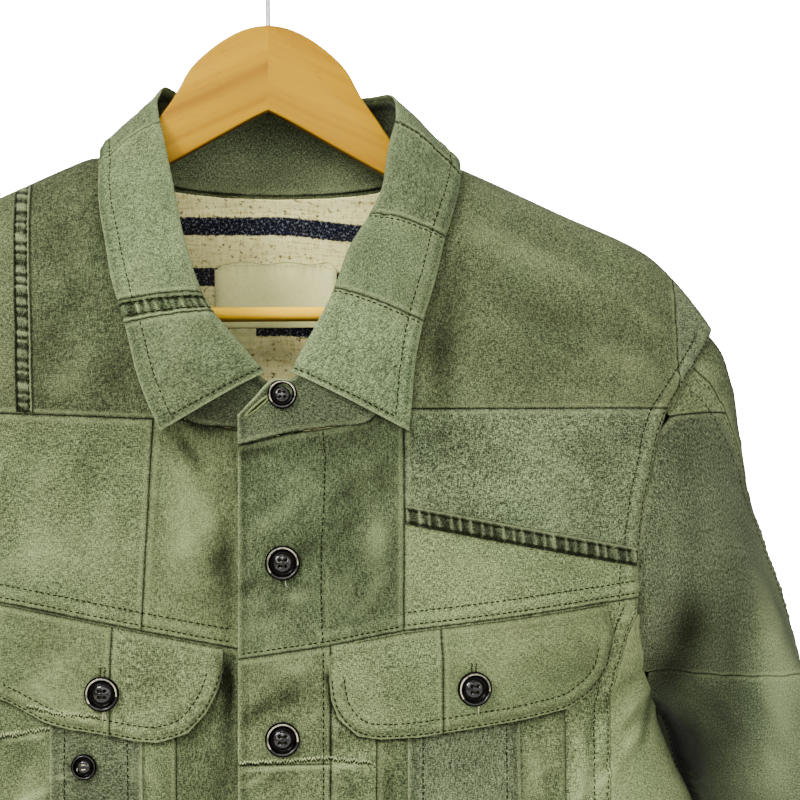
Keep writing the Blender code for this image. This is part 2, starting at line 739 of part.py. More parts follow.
def make_back():
    yoke, hem = fixed(BACK_YOKE_Z), fixed(HEM_Z)
    half = [*(x for x, _ in reversed(BACK_NECKLINE)), 0.106, 0.154, 0.198, ARMHOLE[-1][2]]
    columns = parts_of([*(-x for x in reversed(half[1:])), *half])
    rows = sorted({*RIDGE_ROWS, *armhole_rows(SHOULDER_END_Z, BACK_YOKE_Z)})
    edges = (mirrored(back_edge), back_edge, back_neck_z, yoke)
    body_piece("back_yoke", edges, columns, rows, "olive", face=1)
    nodes = [row[0] for row in reversed(ARMHOLE) if row[0] < BACK_YOKE_Z]
    rows = parts_of([BACK_YOKE_Z, *nodes, -0.479, -0.53, -0.61, -0.70, HEM_Z])
    edges = (fixed(0.0), back_edge, yoke, hem)
    body_piece("back_left", edges, 7, rows, "sage", face=1, rounded=True)
    edges = (mirrored(back_edge), fixed(0.0), yoke, hem)
    body_piece("back_right", edges, 7, rows, "grey_green", face=1, rounded=True)


def lining_head(x):
    """Along the neck seam, then lower under the shoulders, clear of the hanger."""
    return back_neck_z(x) - LINING_HEAD_GAP - LINING_DIP * ease((abs(x) - LINING_DIP_START) / LINING_DIP_RUN)


def make_lining():
    inward = WALL + LINING_GAP
    edges = (fixed(-LINING_HALF_WIDTH), fixed(LINING_HALF_WIDTH), lining_head, fixed(LINING_FOOT_Z))
    body_piece("lining_back", edges, 12, 8, "cream", face=1, lift=layer_inside(inward), wall=LINING_WALL)
    inner = inward + LINING_WALL + LINING_GAP
    for name, (left, right, head, foot) in (("label", LABEL), ("size_tab", TAB)):
        edges = (fixed(left), fixed(right), fixed(head), fixed(foot))
        body_piece(name, edges, 4, 3, "cream", face=1, lift=layer_inside(inner), wall=LABEL_WALL)


# ---------------------------------------------------------------- collar
def collar_sections(rows):
    """Neckline, fold and edge points of each section of one half of the collar, and the way out of it."""
    found = []
    for i, (neck_x, neck_z, fold_x, fold_y, fold_z, edge_x, edge_z) in enumerate(rows):
        face = 1 if i < BACK_SECTIONS else -1
        neck = on_body(neck_x, neck_z, face)
        fold = np.array((fold_x, fold_y, fold_z))
        edge_z = min(edge_z, shoulder_z(edge_x))
        edge = on_body(edge_x, edge_z, face, COLLAR_LIFT)
        out = body_normal(turn_of(edge_x, edge_z), edge_z, face)
        fall = unit(edge - fold)
        found.append((neck, fold, edge, unit(out - fall * np.dot(out, fall))))
    return found


def between(sections, share):
    """The section at a share of the way along, on a smooth curve through all of them."""
    place = share * (len(sections) - 1)
    i = min(int(place), len(sections) - 2)
    t = place - i
    blended = []
    for column in range(len(sections[0])):
        p, q, r, s = (sections[min(max(i + k, 0), len(sections) - 1)][column] for k in (-1, 0, 1, 2))
        blended.append(
            0.5 * (2 * q + (r - p) * t + (2 * p - 5 * q + 4 * r - s) * t**2 + (3 * q - p - 3 * r + s) * t**3)
        )
    return blended


def leaf_point(sections, share, reach):
    """A point of the collar leaf, from its fold (0) to its edge (1)."""
    _, fold, edge, out = between(sections, share)
    middle = fold + (edge - fold) * 0.3 + unit(out) * COLLAR_BULGE
    return (1 - reach) ** 2 * fold + 2 * reach * (1 - reach) * middle + reach**2 * edge


def wrap(name, point, columns, rows, colour, heart, wall=WALL):
    """A wall over point(column share, row share), whose outer side faces away from heart(point)."""
    points = np.array([[point(a, b) for a in columns] for b in rows])
    normals = np.zeros_like(points)
    step = 1e-3
    for i, b in enumerate(rows):
        for j, a in enumerate(columns):
            across = point(a + step, b) - point(a - step, b)
            down = point(a, b + step) - point(a, b - step)
            normals[i, j] = unit(np.cross(down, across))
    outward = sum(np.dot(n, p - heart(p)) for n, p in zip(normals.reshape(-1, 3), points.reshape(-1, 3)))
    turned = outward < 0
    return sheet(name, points, -normals if turned else normals, colour, wall, turned=turned)


def neck_heart(point):
    return np.array((0.0, NECK_HEART_Y, point[2] - NECK_HEART_DROP))


def make_collar():
    """The leaf's pieces: sections are counted from the centre back, and are negative on the right."""
    halves = {"left": collar_sections(COLLAR_LEFT), "right": collar_sections(COLLAR_RIGHT)}
    whole = [*reversed(halves["right"]), *halves["left"][1:]]
    centre, last = len(COLLAR_RIGHT) - 1, len(whole) - 1
    for name, first, final, colour in COLLAR_PIECES:
        point = lambda a, b: leaf_point(whole, (centre + first + (final - first) * a) / last, b)
        wrap(name, point, shares((final - first) * 2), LEAF_ROWS, colour, neck_heart)
    make_stand(halves)


def make_stand(halves):
    """The band between neckline and fold, its left end lying over its right end."""
    rails = []
    for neck_x, neck_z, top_x, top_z in reversed(STAND_RIGHT_END):
        rails.append((on_body(neck_x, neck_z, -1), on_body(top_x, top_z, -1)))
    for neck, fold, _, _ in reversed(halves["right"]):
        rails.append((neck, fold - unit(fold - neck) * LEAF_OVER_STAND))
    for i, (neck, fold, _, _) in enumerate(halves["left"][1:], 1):
        lifted = on_body(neck[0], neck[2], -1, placket_lift(neck[0])) if i >= BACK_SECTIONS else neck
        rails.append((lifted, fold - unit(fold - lifted) * LEAF_OVER_STAND))
    for neck_x, neck_z, top_x, top_z in STAND_LEFT_END:
        rails.append((on_body(neck_x, neck_z, -1, STACK), on_body(top_x, top_z, -1, STACK)))
    last = len(rails) - 1

    def point(a, b):
        neck, top = between(rails, a)
        rise = unit(top - neck)
        return neck + rise * NECK_GAP + (top - neck - rise * NECK_GAP) * b

    wrap("collar_stand", point, shares(last), STAND_ROWS, "moss", neck_heart)


# ---------------------------------------------------------------- sleeves
def armhole_loop():
    """For each face, points of the armhole and their share of the way from shoulder to underarm."""
    loops = {}
    for face, column in ((-1, 1), (1, 2)):
        points = [on_body(row[column], row[0], face) for row in reversed(ARMHOLE)]
        lengths = np.cumsum([0.0, *(np.linalg.norm(q - p) for p, q in zip(points, points[1:]))])
        loops[face] = (lengths / lengths[-1], np.array(points))
    return loops


ARMHOLE_LOOP = armhole_loop()


def armhole_point(turn):
    """Turn 0 is the shoulder, 0.25 the front, 0.5 the underarm and 0.75 the back."""
    face = -1 if turn <= 0.5 else 1
    share = 2 * turn if turn <= 0.5 else 2 - 2 * turn
    keys, points = ARMHOLE_LOOP[face]
    return np.array([np.interp(share, keys, points[:, k]) for k in range(3)])


def ring_point(turn, z):
    """A point of the sleeve below the cap."""
    rows = SLEEVE_RINGS
    centre_x, centre_y, half_x, half_y = (smooth(rows, z, column) for column in (1, 2, 3, 4))
    angle = 2 * math.pi * turn
    c, s = math.cos(angle), math.sin(angle)
    u = half_x * math.copysign(abs(c) ** RING_POWER, c)
    v = -half_y * math.copysign(abs(s) ** RING_POWER, s)
    across = u * math.cos(SLEEVE_TURN) - v * math.sin(SLEEVE_TURN)
    return np.array(
        (
            centre_x + across,
            centre_y + u * math.sin(SLEEVE_TURN) + v * math.cos(SLEEVE_TURN),
            z + RING_SLOPE * across,
        )
    )


def sleeve_point(turn, along):
    """Along 0 is the armhole, 1 the first ring, and 2 the cuff's end."""
    turn = turn % 1.0
    if along >= 1:
        return ring_point(turn, FIRST_RING_Z + (along - 1) * (SLEEVE_END_Z - FIRST_RING_Z))
    start, end = armhole_point(turn), ring_point(turn, FIRST_RING_Z)
    reach = CAP_REACH * np.linalg.norm(end - start)
    middle = end + reach * np.array((-CAP_LEAN, 0.0, 1.0))
    return (1 - along) ** 2 * start + 2 * along * (1 - along) * middle + along**2 * end


def sleeve_turns(first, last):
    """The armhole's own corners between two turns, so that sleeve and body share them."""
    found = {first, last}
    for face, (keys, _) in ARMHOLE_LOOP.items():
        for key in keys:
            turn = key / 2 if face < 0 else 1 - key / 2
            if first + TURN_GAP < turn < last - TURN_GAP:
                found.add(float(turn))
    return sorted(found)


def along_at(turn, z):
    """How far along the sleeve a height is reached."""
    low, high = SLEEVE_START, 1.9
    for _ in range(30):
        middle = (low + high) / 2
        if sleeve_point(turn, middle)[2] > z:
            low = middle
        else:
            high = middle
    return low


def sleeve_piece(name, side, turns, head, foot, rows, colour):
    """A piece between two turns, from along head(turn) to along foot(turn)."""
    sign = 1 if side == "left" else -1

    def point(a, b):
        turn = turns[0] + (turns[-1] - turns[0]) * a
        along = head(turn) + (foot(turn) - head(turn)) * b
        return sleeve_point(turn, along) * np.array((sign, 1, 1))

    def heart(p):
        z = min(max(p[2], SLEEVE_END_Z), FIRST_RING_Z)
        return np.array((sign * smooth(SLEEVE_RINGS, z, 1), smooth(SLEEVE_RINGS, z, 2), p[2]))

    wrap(name, point, parts_of(turns), rows, colour, heart)


def make_cuff(side):
    """A closed band round the end of a sleeve."""
    sign = 1 if side == "left" else -1
    turns = shares(CUFF_CORNERS)[:-1]
    loops = []
    for lift, along in ((CUFF_PROUD, CUFF_ALONG), (CUFF_PROUD, 2.0), (CUFF_PROUD - CUFF_WALL, 2.0),
                        (CUFF_PROUD - CUFF_WALL, CUFF_ALONG)):
        loop = []
        for turn in turns:
            point = sleeve_point(turn, along)
            heart = np.array((smooth(SLEEVE_RINGS, point[2], 1), smooth(SLEEVE_RINGS, point[2], 2), point[2]))
            placed = point + unit(point - heart) * lift - np.array((0.0, 0.0, SEAM_GAP if along < 2 else 0.0))
            loop.append(placed * np.array((sign, 1, 1)) + np.array((CENTRE_X, 0, 0)))
        loops.append(loop)
    count = len(turns)
    faces = []
    for k in range(len(loops)):
        nearer, farther = k * count, (k + 1) % len(loops) * count
        for j in range(count):
            after = (j + 1) % count
            quad = (nearer + j, farther + j, farther + after, nearer + after)
            faces.append(quad if sign < 0 else tuple(reversed(quad)))
    add_object(f"sleeve_{side}_cuff", [p for loop in loops for p in loop], faces, "sage")


def make_sleeves():
    start, cuff = fixed(SLEEVE_START), fixed(CUFF_ALONG)
    front = sleeve_turns(OUTER_SEAM, UNDER_SEAM)
    back = sleeve_turns(UNDER_SEAM, 1 + OUTER_SEAM)
    rows = parts_of([SLEEVE_START, *SLEEVE_ROWS, CUFF_ALONG])
    sleeve_piece("sleeve_left_back", "left", back, start, cuff, rows, "olive")
    sleeve_piece("sleeve_right_front", "right", front, start, cuff, rows, "moss")
    sleeve_piece("sleeve_right_back", "right", back, start, cuff, rows, "olive")

    cap_end = next(t for t in front if armhole_point(t)[2] < CAP_SEAM_Z)
    pieced_end = next(t for t in front if armhole_point(t)[2] < PIECED_SEAM_Z + PIECED_SEAM_RISE)

    def cap_foot(turn):
        share = (turn - OUTER_SEAM) / (cap_end - OUTER_SEAM)
        return CAP_SEAM_ALONG[0] + (CAP_SEAM_ALONG[1] - CAP_SEAM_ALONG[0]) * min(share, 1.0)

    def upper_head(turn):
        return cap_foot(turn) if turn <= cap_end else SLEEVE_START

    def pieced(turn):
        return max(along_at(turn, PIECED_SEAM_Z), SLEEVE_START)

    cap_turns = [t for t in front if t <= cap_end]
    sleeve_piece("sleeve_left_cap", "left", cap_turns, start, cap_foot, shares(2), "olive")
    upper = [t for t in front if t <= pieced_end]
    sleeve_piece("sleeve_left_upper", "left", upper, upper_head, pieced, shares(5), "moss")
    sleeve_piece("sleeve_left_lower", "left", front, pieced, cuff, shares(8), "grey_green")
    for side in ("left", "right"):
        make_cuff(side)


# ---------------------------------------------------------------- buttons
def make_button(name, x, z, lift, radius):
    """A sewn-through button, turned, sitting on the cloth that faces it."""
    mesh = bmesh.new()
    low = mesh.verts.new((0, 0, 0))
    high = mesh.verts.new((0, 0, BUTTON_PROFILE[-1][1] * BUTTON_HEIGHT))
    rings = []
    for share, height in BUTTON_PROFILE[1:-1]:
        ring = []
        for k in range(BUTTON_CORNERS):
            angle = 2 * math.pi * k / BUTTON_CORNERS
            across, up = share * radius * math.cos(angle), share * radius * math.sin(angle)
            ring.append(mesh.verts.new((across, up, height * BUTTON_HEIGHT)))
        rings.append(ring)
    for k in range(BUTTON_CORNERS):
        after = (k + 1) % BUTTON_CORNERS
        mesh.faces.new((low, rings[0][after], rings[0][k]))
        mesh.faces.new((high, rings[-1][k], rings[-1][after]))
        for inner, outer in zip(rings, rings[1:]):
            mesh.faces.new((inner[k], inner[after], outer[after], outer[k]))
    data = bpy.data.meshes.new(name)
    mesh.to_mesh(data)
    mesh.free()
    made = bpy.data.objects.new(name, data)
    bpy.context.scene.collection.objects.link(made)
    data.materials.append(material(name, "horn", 0.35))
    data.shade_smooth()
    data.set_sharp_from_angle(angle=math.radians(40))
    seat = on_body(x, z, -1, lift + BUTTON_SEAT) + np.array((CENTRE_X, 0, 0))
    normal = Vector(body_normal(turn_of(x, z), z, -1))
    turned = normal.to_track_quat("Z", "Y").to_matrix().to_4x4()
    made.matrix_world = Matrix.Translation(Vector(seat)) @ turned


def make_buttons():
    make_button("button_stand", *STAND_BUTTON, STAND_BUTTON_LIFT, STAND_BUTTON_RADIUS)
    for k in range(FRONT_BUTTONS):
        z = FIRST_BUTTON_Z - k * BUTTON_PITCH
        make_button(f"button_front_{k + 1}", BUTTON_X, z, STACK, BUTTON_RADIUS)
    for side, (x, z) in FLAP_BUTTONS.items():
        make_button(f"button_flap_{side}", x, z, 3 * STACK, BUTTON_RADIUS)
    make_button("button_pocket_right", *POCKET_BUTTON, 2 * STACK, POCKET_BUTTON_RADIUS)


# ---------------------------------------------------------------- hanger
def make_hanger_frame():
    outline = [*HANGER_OUTLINE, *((-x, z) for x, z in reversed(HANGER_OUTLINE[1:-1]))]
    mesh = bmesh.new()
    front = [mesh.verts.new((x, -HANGER_HALF_THICKNESS, z)) for x, z in outline]
    face = mesh.faces.new(reversed(front))
    made = bmesh.ops.extrude_face_region(mesh, geom=[face])
    moved = [item for item in made["geom"] if isinstance(item, bmesh.types.BMVert)]
    bmesh.ops.translate(mesh, vec=(0, 2 * HANGER_HALF_THICKNESS, 0), verts=moved)
    bmesh.ops.recalc_face_normals(mesh, faces=mesh.faces)
    data = bpy.data.meshes.new("hanger_frame")
    mesh.to_mesh(data)
    mesh.free()
    frame = bpy.data.objects.new("hanger_frame", data)
    bpy.context.scene.collection.objects.link(frame)
    data.materials.append(material("hanger_frame", "wood", 0.4))
    bevel = frame.modifiers.new("rounding", "BEVEL")
    bevel.width = HANGER_ROUND
    bevel.segments = 2
    bevel.limit_method = "ANGLE"
    bevel.angle_limit = math.radians(60)
    data.shade_smooth()
    data.set_sharp_from_angle(angle=math.radians(40))


def make_bar():
    count = BAR_CORNERS
    vertices = []
    for x in (-BAR_HALF_LENGTH, BAR_HALF_LENGTH):
        for k in range(count):
            angle = 2 * math.pi * k / count
            vertices.append((x, BAR_RADIUS * math.cos(angle), BAR_Z + BAR_RADIUS * math.sin(angle)))
    faces = [tuple(reversed(range(count))), tuple(range(count, 2 * count))]
    faces += [(k, (k + 1) % count, count + (k + 1) % count, count + k) for k in range(count)]
    add_object("hanger_bar", vertices, faces, "wood", 0.4)


def make_hook():
    curve = bpy.data.curves.new("hanger_hook", "CURVE")
    curve.dimensions = "3D"
    curve.bevel_depth = HOOK_WIRE
    curve.bevel_resolution = 2
    curve.use_fill_caps = True
    centre_z = -HOOK_RADIUS
    wire = HOOK_RADIUS + HOOK_WIRE
    first, last = HOOK_ARC
    route = []
    for k in range(HOOK_STEPS + 1):
        angle = math.radians(first + (last - first) * k / HOOK_STEPS)
        route.append((wire * math.cos(angle), 0.0, centre_z + wire * math.sin(angle)))
    route += [(x, 0.0, z) for x, z in HOOK_SHANK]
    spline = curve.splines.new("POLY")
    spline.points.add(len(route) - 1)
    for point, place in zip(spline.points, route):
        point.co = (*place, 1.0)
    hook = bpy.data.objects.new("hanger_hook", curve)
    bpy.context.scene.collection.objects.link(hook)
    curve.materials.append(material("hanger_hook", "steel", 0.25, 1.0))


def main():
    for thing in list(bpy.data.objects):
        bpy.data.objects.remove(thing)
    make_left_front()
    make_right_front()
    make_pockets()
    make_flaps()
    make_back()
    make_lining()
    make_collar()
    make_sleeves()
    make_buttons()
    make_hanger_frame()
    make_bar()
    make_hook()


main()
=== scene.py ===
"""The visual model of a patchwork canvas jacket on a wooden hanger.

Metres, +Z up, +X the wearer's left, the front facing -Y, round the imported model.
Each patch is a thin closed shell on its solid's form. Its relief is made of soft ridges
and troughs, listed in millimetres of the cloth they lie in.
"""
import itertools
import math

import bpy
import numpy as np
from mathutils import Matrix, Vector


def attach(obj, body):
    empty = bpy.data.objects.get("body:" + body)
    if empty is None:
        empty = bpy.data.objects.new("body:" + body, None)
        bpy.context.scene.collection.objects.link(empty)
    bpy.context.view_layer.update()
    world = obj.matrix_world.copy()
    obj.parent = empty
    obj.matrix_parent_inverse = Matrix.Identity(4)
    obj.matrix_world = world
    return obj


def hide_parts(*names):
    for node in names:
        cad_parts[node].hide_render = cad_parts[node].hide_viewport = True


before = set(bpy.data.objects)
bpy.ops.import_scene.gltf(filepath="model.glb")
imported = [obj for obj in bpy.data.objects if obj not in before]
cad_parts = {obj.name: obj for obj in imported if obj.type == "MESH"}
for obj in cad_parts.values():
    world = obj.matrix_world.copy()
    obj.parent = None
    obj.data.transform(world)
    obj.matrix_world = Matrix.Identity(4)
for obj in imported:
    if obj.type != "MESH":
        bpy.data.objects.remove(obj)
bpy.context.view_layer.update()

# ---------------------------------------------------------------- sizes of the solids
CENTRE_X = 0.005
WALL = 0.0012
STACK = 0.0023            # how far each layer of cloth stands off the one below
SEAM_GAP = 0.0003
FRONT_DEPTH, BACK_DEPTH = 0.072, 0.066
SHOULDER_DROP, SHOULDER_HITCH = 0.200, 0.0052
RIDGE_POWER, SIDE_POWER = 0.60, 2.5
HEM_Z, UNDERARM_Z, BACK_YOKE_Z = -0.790, -0.445, -0.312
PLACKET_LEFT, PLACKET_RIGHT = -0.0209, 0.0265
UNDERLAP, PLACKET_RAMP = 0.0190, 0.0480

SHOULDER = (
    (0.000, -0.1280), (0.040, -0.1310), (0.080, -0.1440), (0.106, -0.1540), (0.154, -0.1757),
    (0.198, -0.1955), (0.216, -0.2108), (0.2375, -0.2380), (0.262, -0.2800),
)
HALF_WIDTH = (
    (-0.790, 0.2320), (-0.620, 0.2330), (-0.530, 0.2310), (-0.4954, 0.2258), (-0.479, 0.2178),
    (-0.462, 0.2115), (-0.445, 0.2065), (-0.400, 0.2140), (-0.360, 0.2210), (-0.300, 0.2330),
    (-0.240, 0.2470), (-0.120, 0.2700),
)
# z, x on the front, x on the back
ARMHOLE = (
    (-0.4450, 0.2065, 0.2065), (-0.4350, 0.2010, 0.2045), (-0.4200, 0.1965, 0.2032),
    (-0.3985, 0.1925, 0.2030), (-0.3812, 0.1915, 0.2035), (-0.3608, 0.1910, 0.2045),
    (-0.3350, 0.1942, 0.2065), (-0.3120, 0.1985, 0.2095), (-0.2950, 0.2028, 0.2125),
    (-0.2812, 0.2078, 0.2160), (-0.2715, 0.2150, 0.2195), (-0.2570, 0.2262, 0.2270),
    (-0.2450, 0.2350, 0.2350), (-0.2380, 0.2375, 0.2375),
)
NECKLINE = (
    (0.0805, -0.1442), (0.0802, -0.1480), (0.0790, -0.1650), (0.0775, -0.1850), (0.0755, -0.2050),
    (0.0725, -0.2250), (0.0680, -0.2450), (0.0610, -0.2640), (0.0480, -0.2870), (0.0250, -0.2914),
    (0.0036, -0.2945), (-0.0125, -0.2985), (-0.0209, -0.3003),
)
NECK_SIDE = 9             # the neckline's rows that run down its side
BACK_NECKLINE = (
    (0.0805, -0.1442), (0.0785, -0.1475), (0.0700, -0.1550), (0.0560, -0.1600), (0.0300, -0.1630),
    (0.0000, -0.1640),
)
YOKE_LEFT = ((-0.0209, -0.4092), (0.0265, -0.4025), (0.0645, -0.3955), (0.1230, -0.3893), (0.1915, -0.3812))
YOKE_RIGHT = (
    (-0.1915, -0.3735), (-0.1430, -0.3806), (-0.1030, -0.3883), (-0.0700, -0.3948), (-0.0209, -0.4040),
    (0.0265, -0.4125),
)
YOKE_ROWS = (0.0027, 0.0092)                # how far its rows of stitches are above the yoke seam
CHEST_LEFT_Z = -0.2812
CHEST_RIGHT = ((-0.2078, -0.2812), (-0.0643, -0.2865), (0.0, -0.2865))
TIP_X, TIP_FOOT_Z = 0.2150, -0.2700
CENTRE_LEFT_X = 0.0645
LEFT_FELL = ((0.0645, -0.3362), (0.1910, -0.3608))
FELL_WIDTH, FELL_RIDGE = 0.0088, 0.0014     # the felled strips, and how far the worn edge stands past them
FELL_LIFT, FELL_WALL, FELL_CELL, FELL_END_X = 0.0017, 0.0010, 0.0008, 0.1890
CENTRE_RIGHT = ((-0.3970, -0.0703), (-0.2865, -0.0643))      # z, x
RIGHT_FELL = ((-0.2830, -0.1303), (-0.1700, -0.1350))        # z, x
PLACKET_JOIN_Z = -0.4630
SIDE_SEAM = (
    (-0.7900, 0.1700), (-0.4954, 0.1742), (-0.4450, 0.1755), (-0.4350, 0.1766), (-0.4200, 0.1795),
    (-0.3985, 0.1862), (-0.3900, 0.1900), (-0.3812, 0.1915),
)
SIDE_HEAD_Z = -0.3900
POCKETS = {"left": (0.0498, 0.1500, 0.0658, 0.1240), "right": (-0.1460, -0.0520, -0.1158, -0.0690)}
POCKET_HEAD_Z, POCKET_FOOT_Z = -0.4280, -0.6000
FLAPS = {
    "left": (
        (0.0254, -0.4180), (0.0264, -0.4297), (0.0305, -0.4399), (0.0402, -0.4487), (0.0520, -0.4504),
        (0.0716, -0.4497), (0.0835, -0.4480), (0.1049, -0.4450), (0.1239, -0.4425), (0.1493, -0.4375),
        (0.1631, -0.4289), (0.1704, -0.4182), (0.1730, -0.4052),
    ),
    "right": (
        (-0.1700, -0.4000), (-0.1670, -0.4100), (-0.1580, -0.4200), (-0.1425, -0.4288),
        (-0.1299, -0.4346), (-0.1175, -0.4415), (-0.1073, -0.4443), (-0.0850, -0.4476),
        (-0.0731, -0.4501), (-0.0609, -0.4511), (-0.0462, -0.4465), (-0.0366, -0.4358),
        (-0.0310, -0.4247), (-0.0285, -0.4150),
    ),
}
FLAP_SEAMS = {"left": 0.0835, "right": -0.0850}
BUTTON_RADIUS, BUTTON_HEIGHT, BUTTON_SEAT = 0.0090, 0.0032, 0.0006
BUTTONS = {
    "button_stand": (0.0016, -0.2745, 0.0044, 0.0076),
    "button_flap_left": (0.0990, -0.4250, 3 * STACK, BUTTON_RADIUS),
    "button_flap_right": (-0.0887, -0.4260, 3 * STACK, BUTTON_RADIUS),
    "button_pocket_right": (-0.0980, -0.4636, 2 * STACK, 0.0066),
}
for k in range(5):
    BUTTONS[f"button_front_{k + 1}"] = (0.0018, -0.3600 - 0.0900 * k, STACK, BUTTON_RADIUS)

# collar sections from the centre back: neck x, z; fold x, y, z; edge x, z
COLLAR_LEFT = (
    (0.0000, -0.1640, 0.0000, 0.0430, -0.1100, 0.0000, -0.1800),
    (0.0300, -0.1630, 0.0290, 0.0390, -0.1095, 0.0420, -0.1790),
    (0.0560, -0.1600, 0.0500, 0.0250, -0.1095, 0.0810, -0.1700),
    (0.0700, -0.1550, 0.0610, 0.0130, -0.1090, 0.0945, -0.1610),
    (0.0785, -0.1475, 0.0635, 0.0060, -0.1120, 0.0965, -0.1545),
    (0.0805, -0.1442, 0.0640, -0.0010, -0.1160, 0.0975, -0.1515),
    (0.0802, -0.1480, 0.0638, -0.0075, -0.1215, 0.0975, -0.1550),
    (0.0790, -0.1650, 0.0630, -0.0140, -0.1270, 0.0970, -0.1600),
    (0.0775, -0.1850, 0.0580, -0.0270, -0.1440, 0.0940, -0.1730),
    (0.0755, -0.2050, 0.0545, -0.0390, -0.1640, 0.0900, -0.1850),
    (0.0740, -0.2150, 0.0475, -0.0470, -0.1790, 0.0870, -0.1930),
    (0.0725, -0.2250, 0.0365, -0.0560, -0.1970, 0.0815, -0.2140),
    (0.0680, -0.2450, 0.0285, -0.0630, -0.2190, 0.0745, -0.2370),
    (0.0610, -0.2640, 0.0200, -0.0690, -0.2360, 0.0705, -0.2580),
    (0.0480, -0.2870, 0.0115, -0.0725, -0.2510, 0.0685, -0.2770),
    (0.0250, -0.2914, 0.0055, -0.0745, -0.2620, 0.0667, -0.2930),
)
COLLAR_RIGHT = (
    (0.0000, -0.1640, 0.0000, 0.0430, -0.1100, 0.0000, -0.1800),
    (-0.0300, -0.1630, -0.0290, 0.0390, -0.1090, -0.0420, -0.1790),
    (-0.0560, -0.1600, -0.0510, 0.0250, -0.1085, -0.0810, -0.1700),
    (-0.0700, -0.1550, -0.0610, 0.0130, -0.1055, -0.0925, -0.1560),
    (-0.0785, -0.1475, -0.0640, 0.0060, -0.1095, -0.0945, -0.1495),
    (-0.0805, -0.1442, -0.0650, -0.0010, -0.1145, -0.0955, -0.1465),
    (-0.0802, -0.1480, -0.0640, -0.0075, -0.1205, -0.0955, -0.1490),
    (-0.0790, -0.1650, -0.0622, -0.0140, -0.1280, -0.0950, -0.1560),
    (-0.0775, -0.1850, -0.0580, -0.0290, -0.1470, -0.0935, -0.1780),
    (-0.0755, -0.2050, -0.0540, -0.0410, -0.1680, -0.0905, -0.1935),
    (-0.0725, -0.2250, -0.0490, -0.0510, -0.1930, -0.0870, -0.2110),
    (-0.0680, -0.2450, -0.0395, -0.0600, -0.2215, -0.0825, -0.2270),
    (-0.0610, -0.2640, -0.0335, -0.0640, -0.2315, -0.0790, -0.2380),
    (-0.0480, -0.2870, -0.0190, -0.0700, -0.2480, -0.0710, -0.2680),
    (-0.0250, -0.2914, -0.0067, -0.0735, -0.2620, -0.0605, -0.2930),
)
BACK_SECTIONS = 5
COLLAR_LIFT, COLLAR_BULGE = 0.0042, 0.0100
LEAF_OVER_STAND, NECK_GAP, STAND_END_LIFT = 0.0040, 0.0004, 0.0056
STAND_LEFT_END = (
    (0.0036, -0.2945, -0.0035, -0.2670), (-0.0125, -0.2985, -0.0130, -0.2765),
    (-0.0209, -0.3003, -0.0209, -0.2850),
)
STAND_RIGHT_END = ((-0.0036, -0.2945, 0.0010, -0.2695), (0.0125, -0.2985, 0.0125, -0.2760))

# z, centre x, centre y, half width, half depth
SLEEVE_RINGS = (
    (-0.845, 0.3080, -0.0070, 0.0305, 0.0585), (-0.790, 0.3050, -0.0040, 0.0315, 0.0600),
    (-0.720, 0.3000, 0.0010, 0.0330, 0.0640), (-0.640, 0.2930, 0.0060, 0.0350, 0.0680),
    (-0.560, 0.2825, 0.0090, 0.0365, 0.0715), (-0.500, 0.2700, 0.0100, 0.0370, 0.0740),
)
FIRST_RING_Z, SLEEVE_END_Z, CUFF_Z = -0.500, -0.845, -0.790
CUFF_ALONG = 1 + (CUFF_Z - FIRST_RING_Z) / (SLEEVE_END_Z - FIRST_RING_Z)
OUTER_SEAM, UNDER_SEAM, SLEEVE_START = 0.055, 0.500, 0.003
SLEEVE_TURN = math.radians(18.0)
RING_SLOPE, CAP_LEAN, CAP_REACH = 0.12, 0.25, 0.50
SHOULDER_FULLNESS, ARM_HOLLOW, ELBOW_HOLLOW, SLEEVE_TUCK = 0.0040, 0.0125, 0.0070, 0.0032
CAP_SEAM_Z, CAP_SEAM_ALONG, PIECED_SEAM_Z = -0.2757, (0.120, 0.022), -0.4220

HANGER_HALF_THICKNESS, HANGER_ROUND = 0.0058, 0.0034
HANGER_OUTLINE = (
    (0.0000, -0.0747), (0.0080, -0.0757), (0.0160, -0.0784), (0.0242, -0.0829), (0.0324, -0.0890),
    (0.0395, -0.0956), (0.0440, -0.1016), (0.0475, -0.1082), (0.0518, -0.1158), (0.0580, -0.1245),
    (0.0671, -0.1380), (0.0760, -0.1500), (0.0860, -0.1546),
    (0.1010, -0.1604), (0.1490, -0.1820), (0.1850, -0.1985), (0.1930, -0.2050), (0.1975, -0.2150),
    (0.1975, -0.2280), (0.1920, -0.2400), (0.1640, -0.2420), (0.1590, -0.2380), (0.1590, -0.2220),
    (0.1300, -0.1940), (0.0900, -0.1700), (0.0450, -0.1455), (0.0120, -0.1270), (0.0000, -0.1210),
)
BAR_Z, BAR_RADIUS, BAR_HALF_LENGTH = -0.2305, 0.0040, 0.1587
HOOK_WIRE, HOOK_RADIUS, HOOK_ARC = 0.00125, 0.0190, (205, -50)
HOOK_SHANK = ((0.0060, -0.0430), (0.0008, -0.0500), (0.0000, -0.0570), (0.0000, -0.0747))
LABEL = (-0.0348, 0.0340, -0.1985, -0.2350)
TAB = (-0.0265, -0.0114, -0.2354, -0.2470)
LINING_HALF_WIDTH, LINING_FOOT_Z = 0.170, -0.400
LINING_WALL, LABEL_WALL, INNER_GAP = 0.0010, 0.0006, 0.0013
LINING_DEPTH = 0.0015 + INNER_GAP
LABEL_DEPTH = LINING_DEPTH + LINING_WALL + INNER_GAP

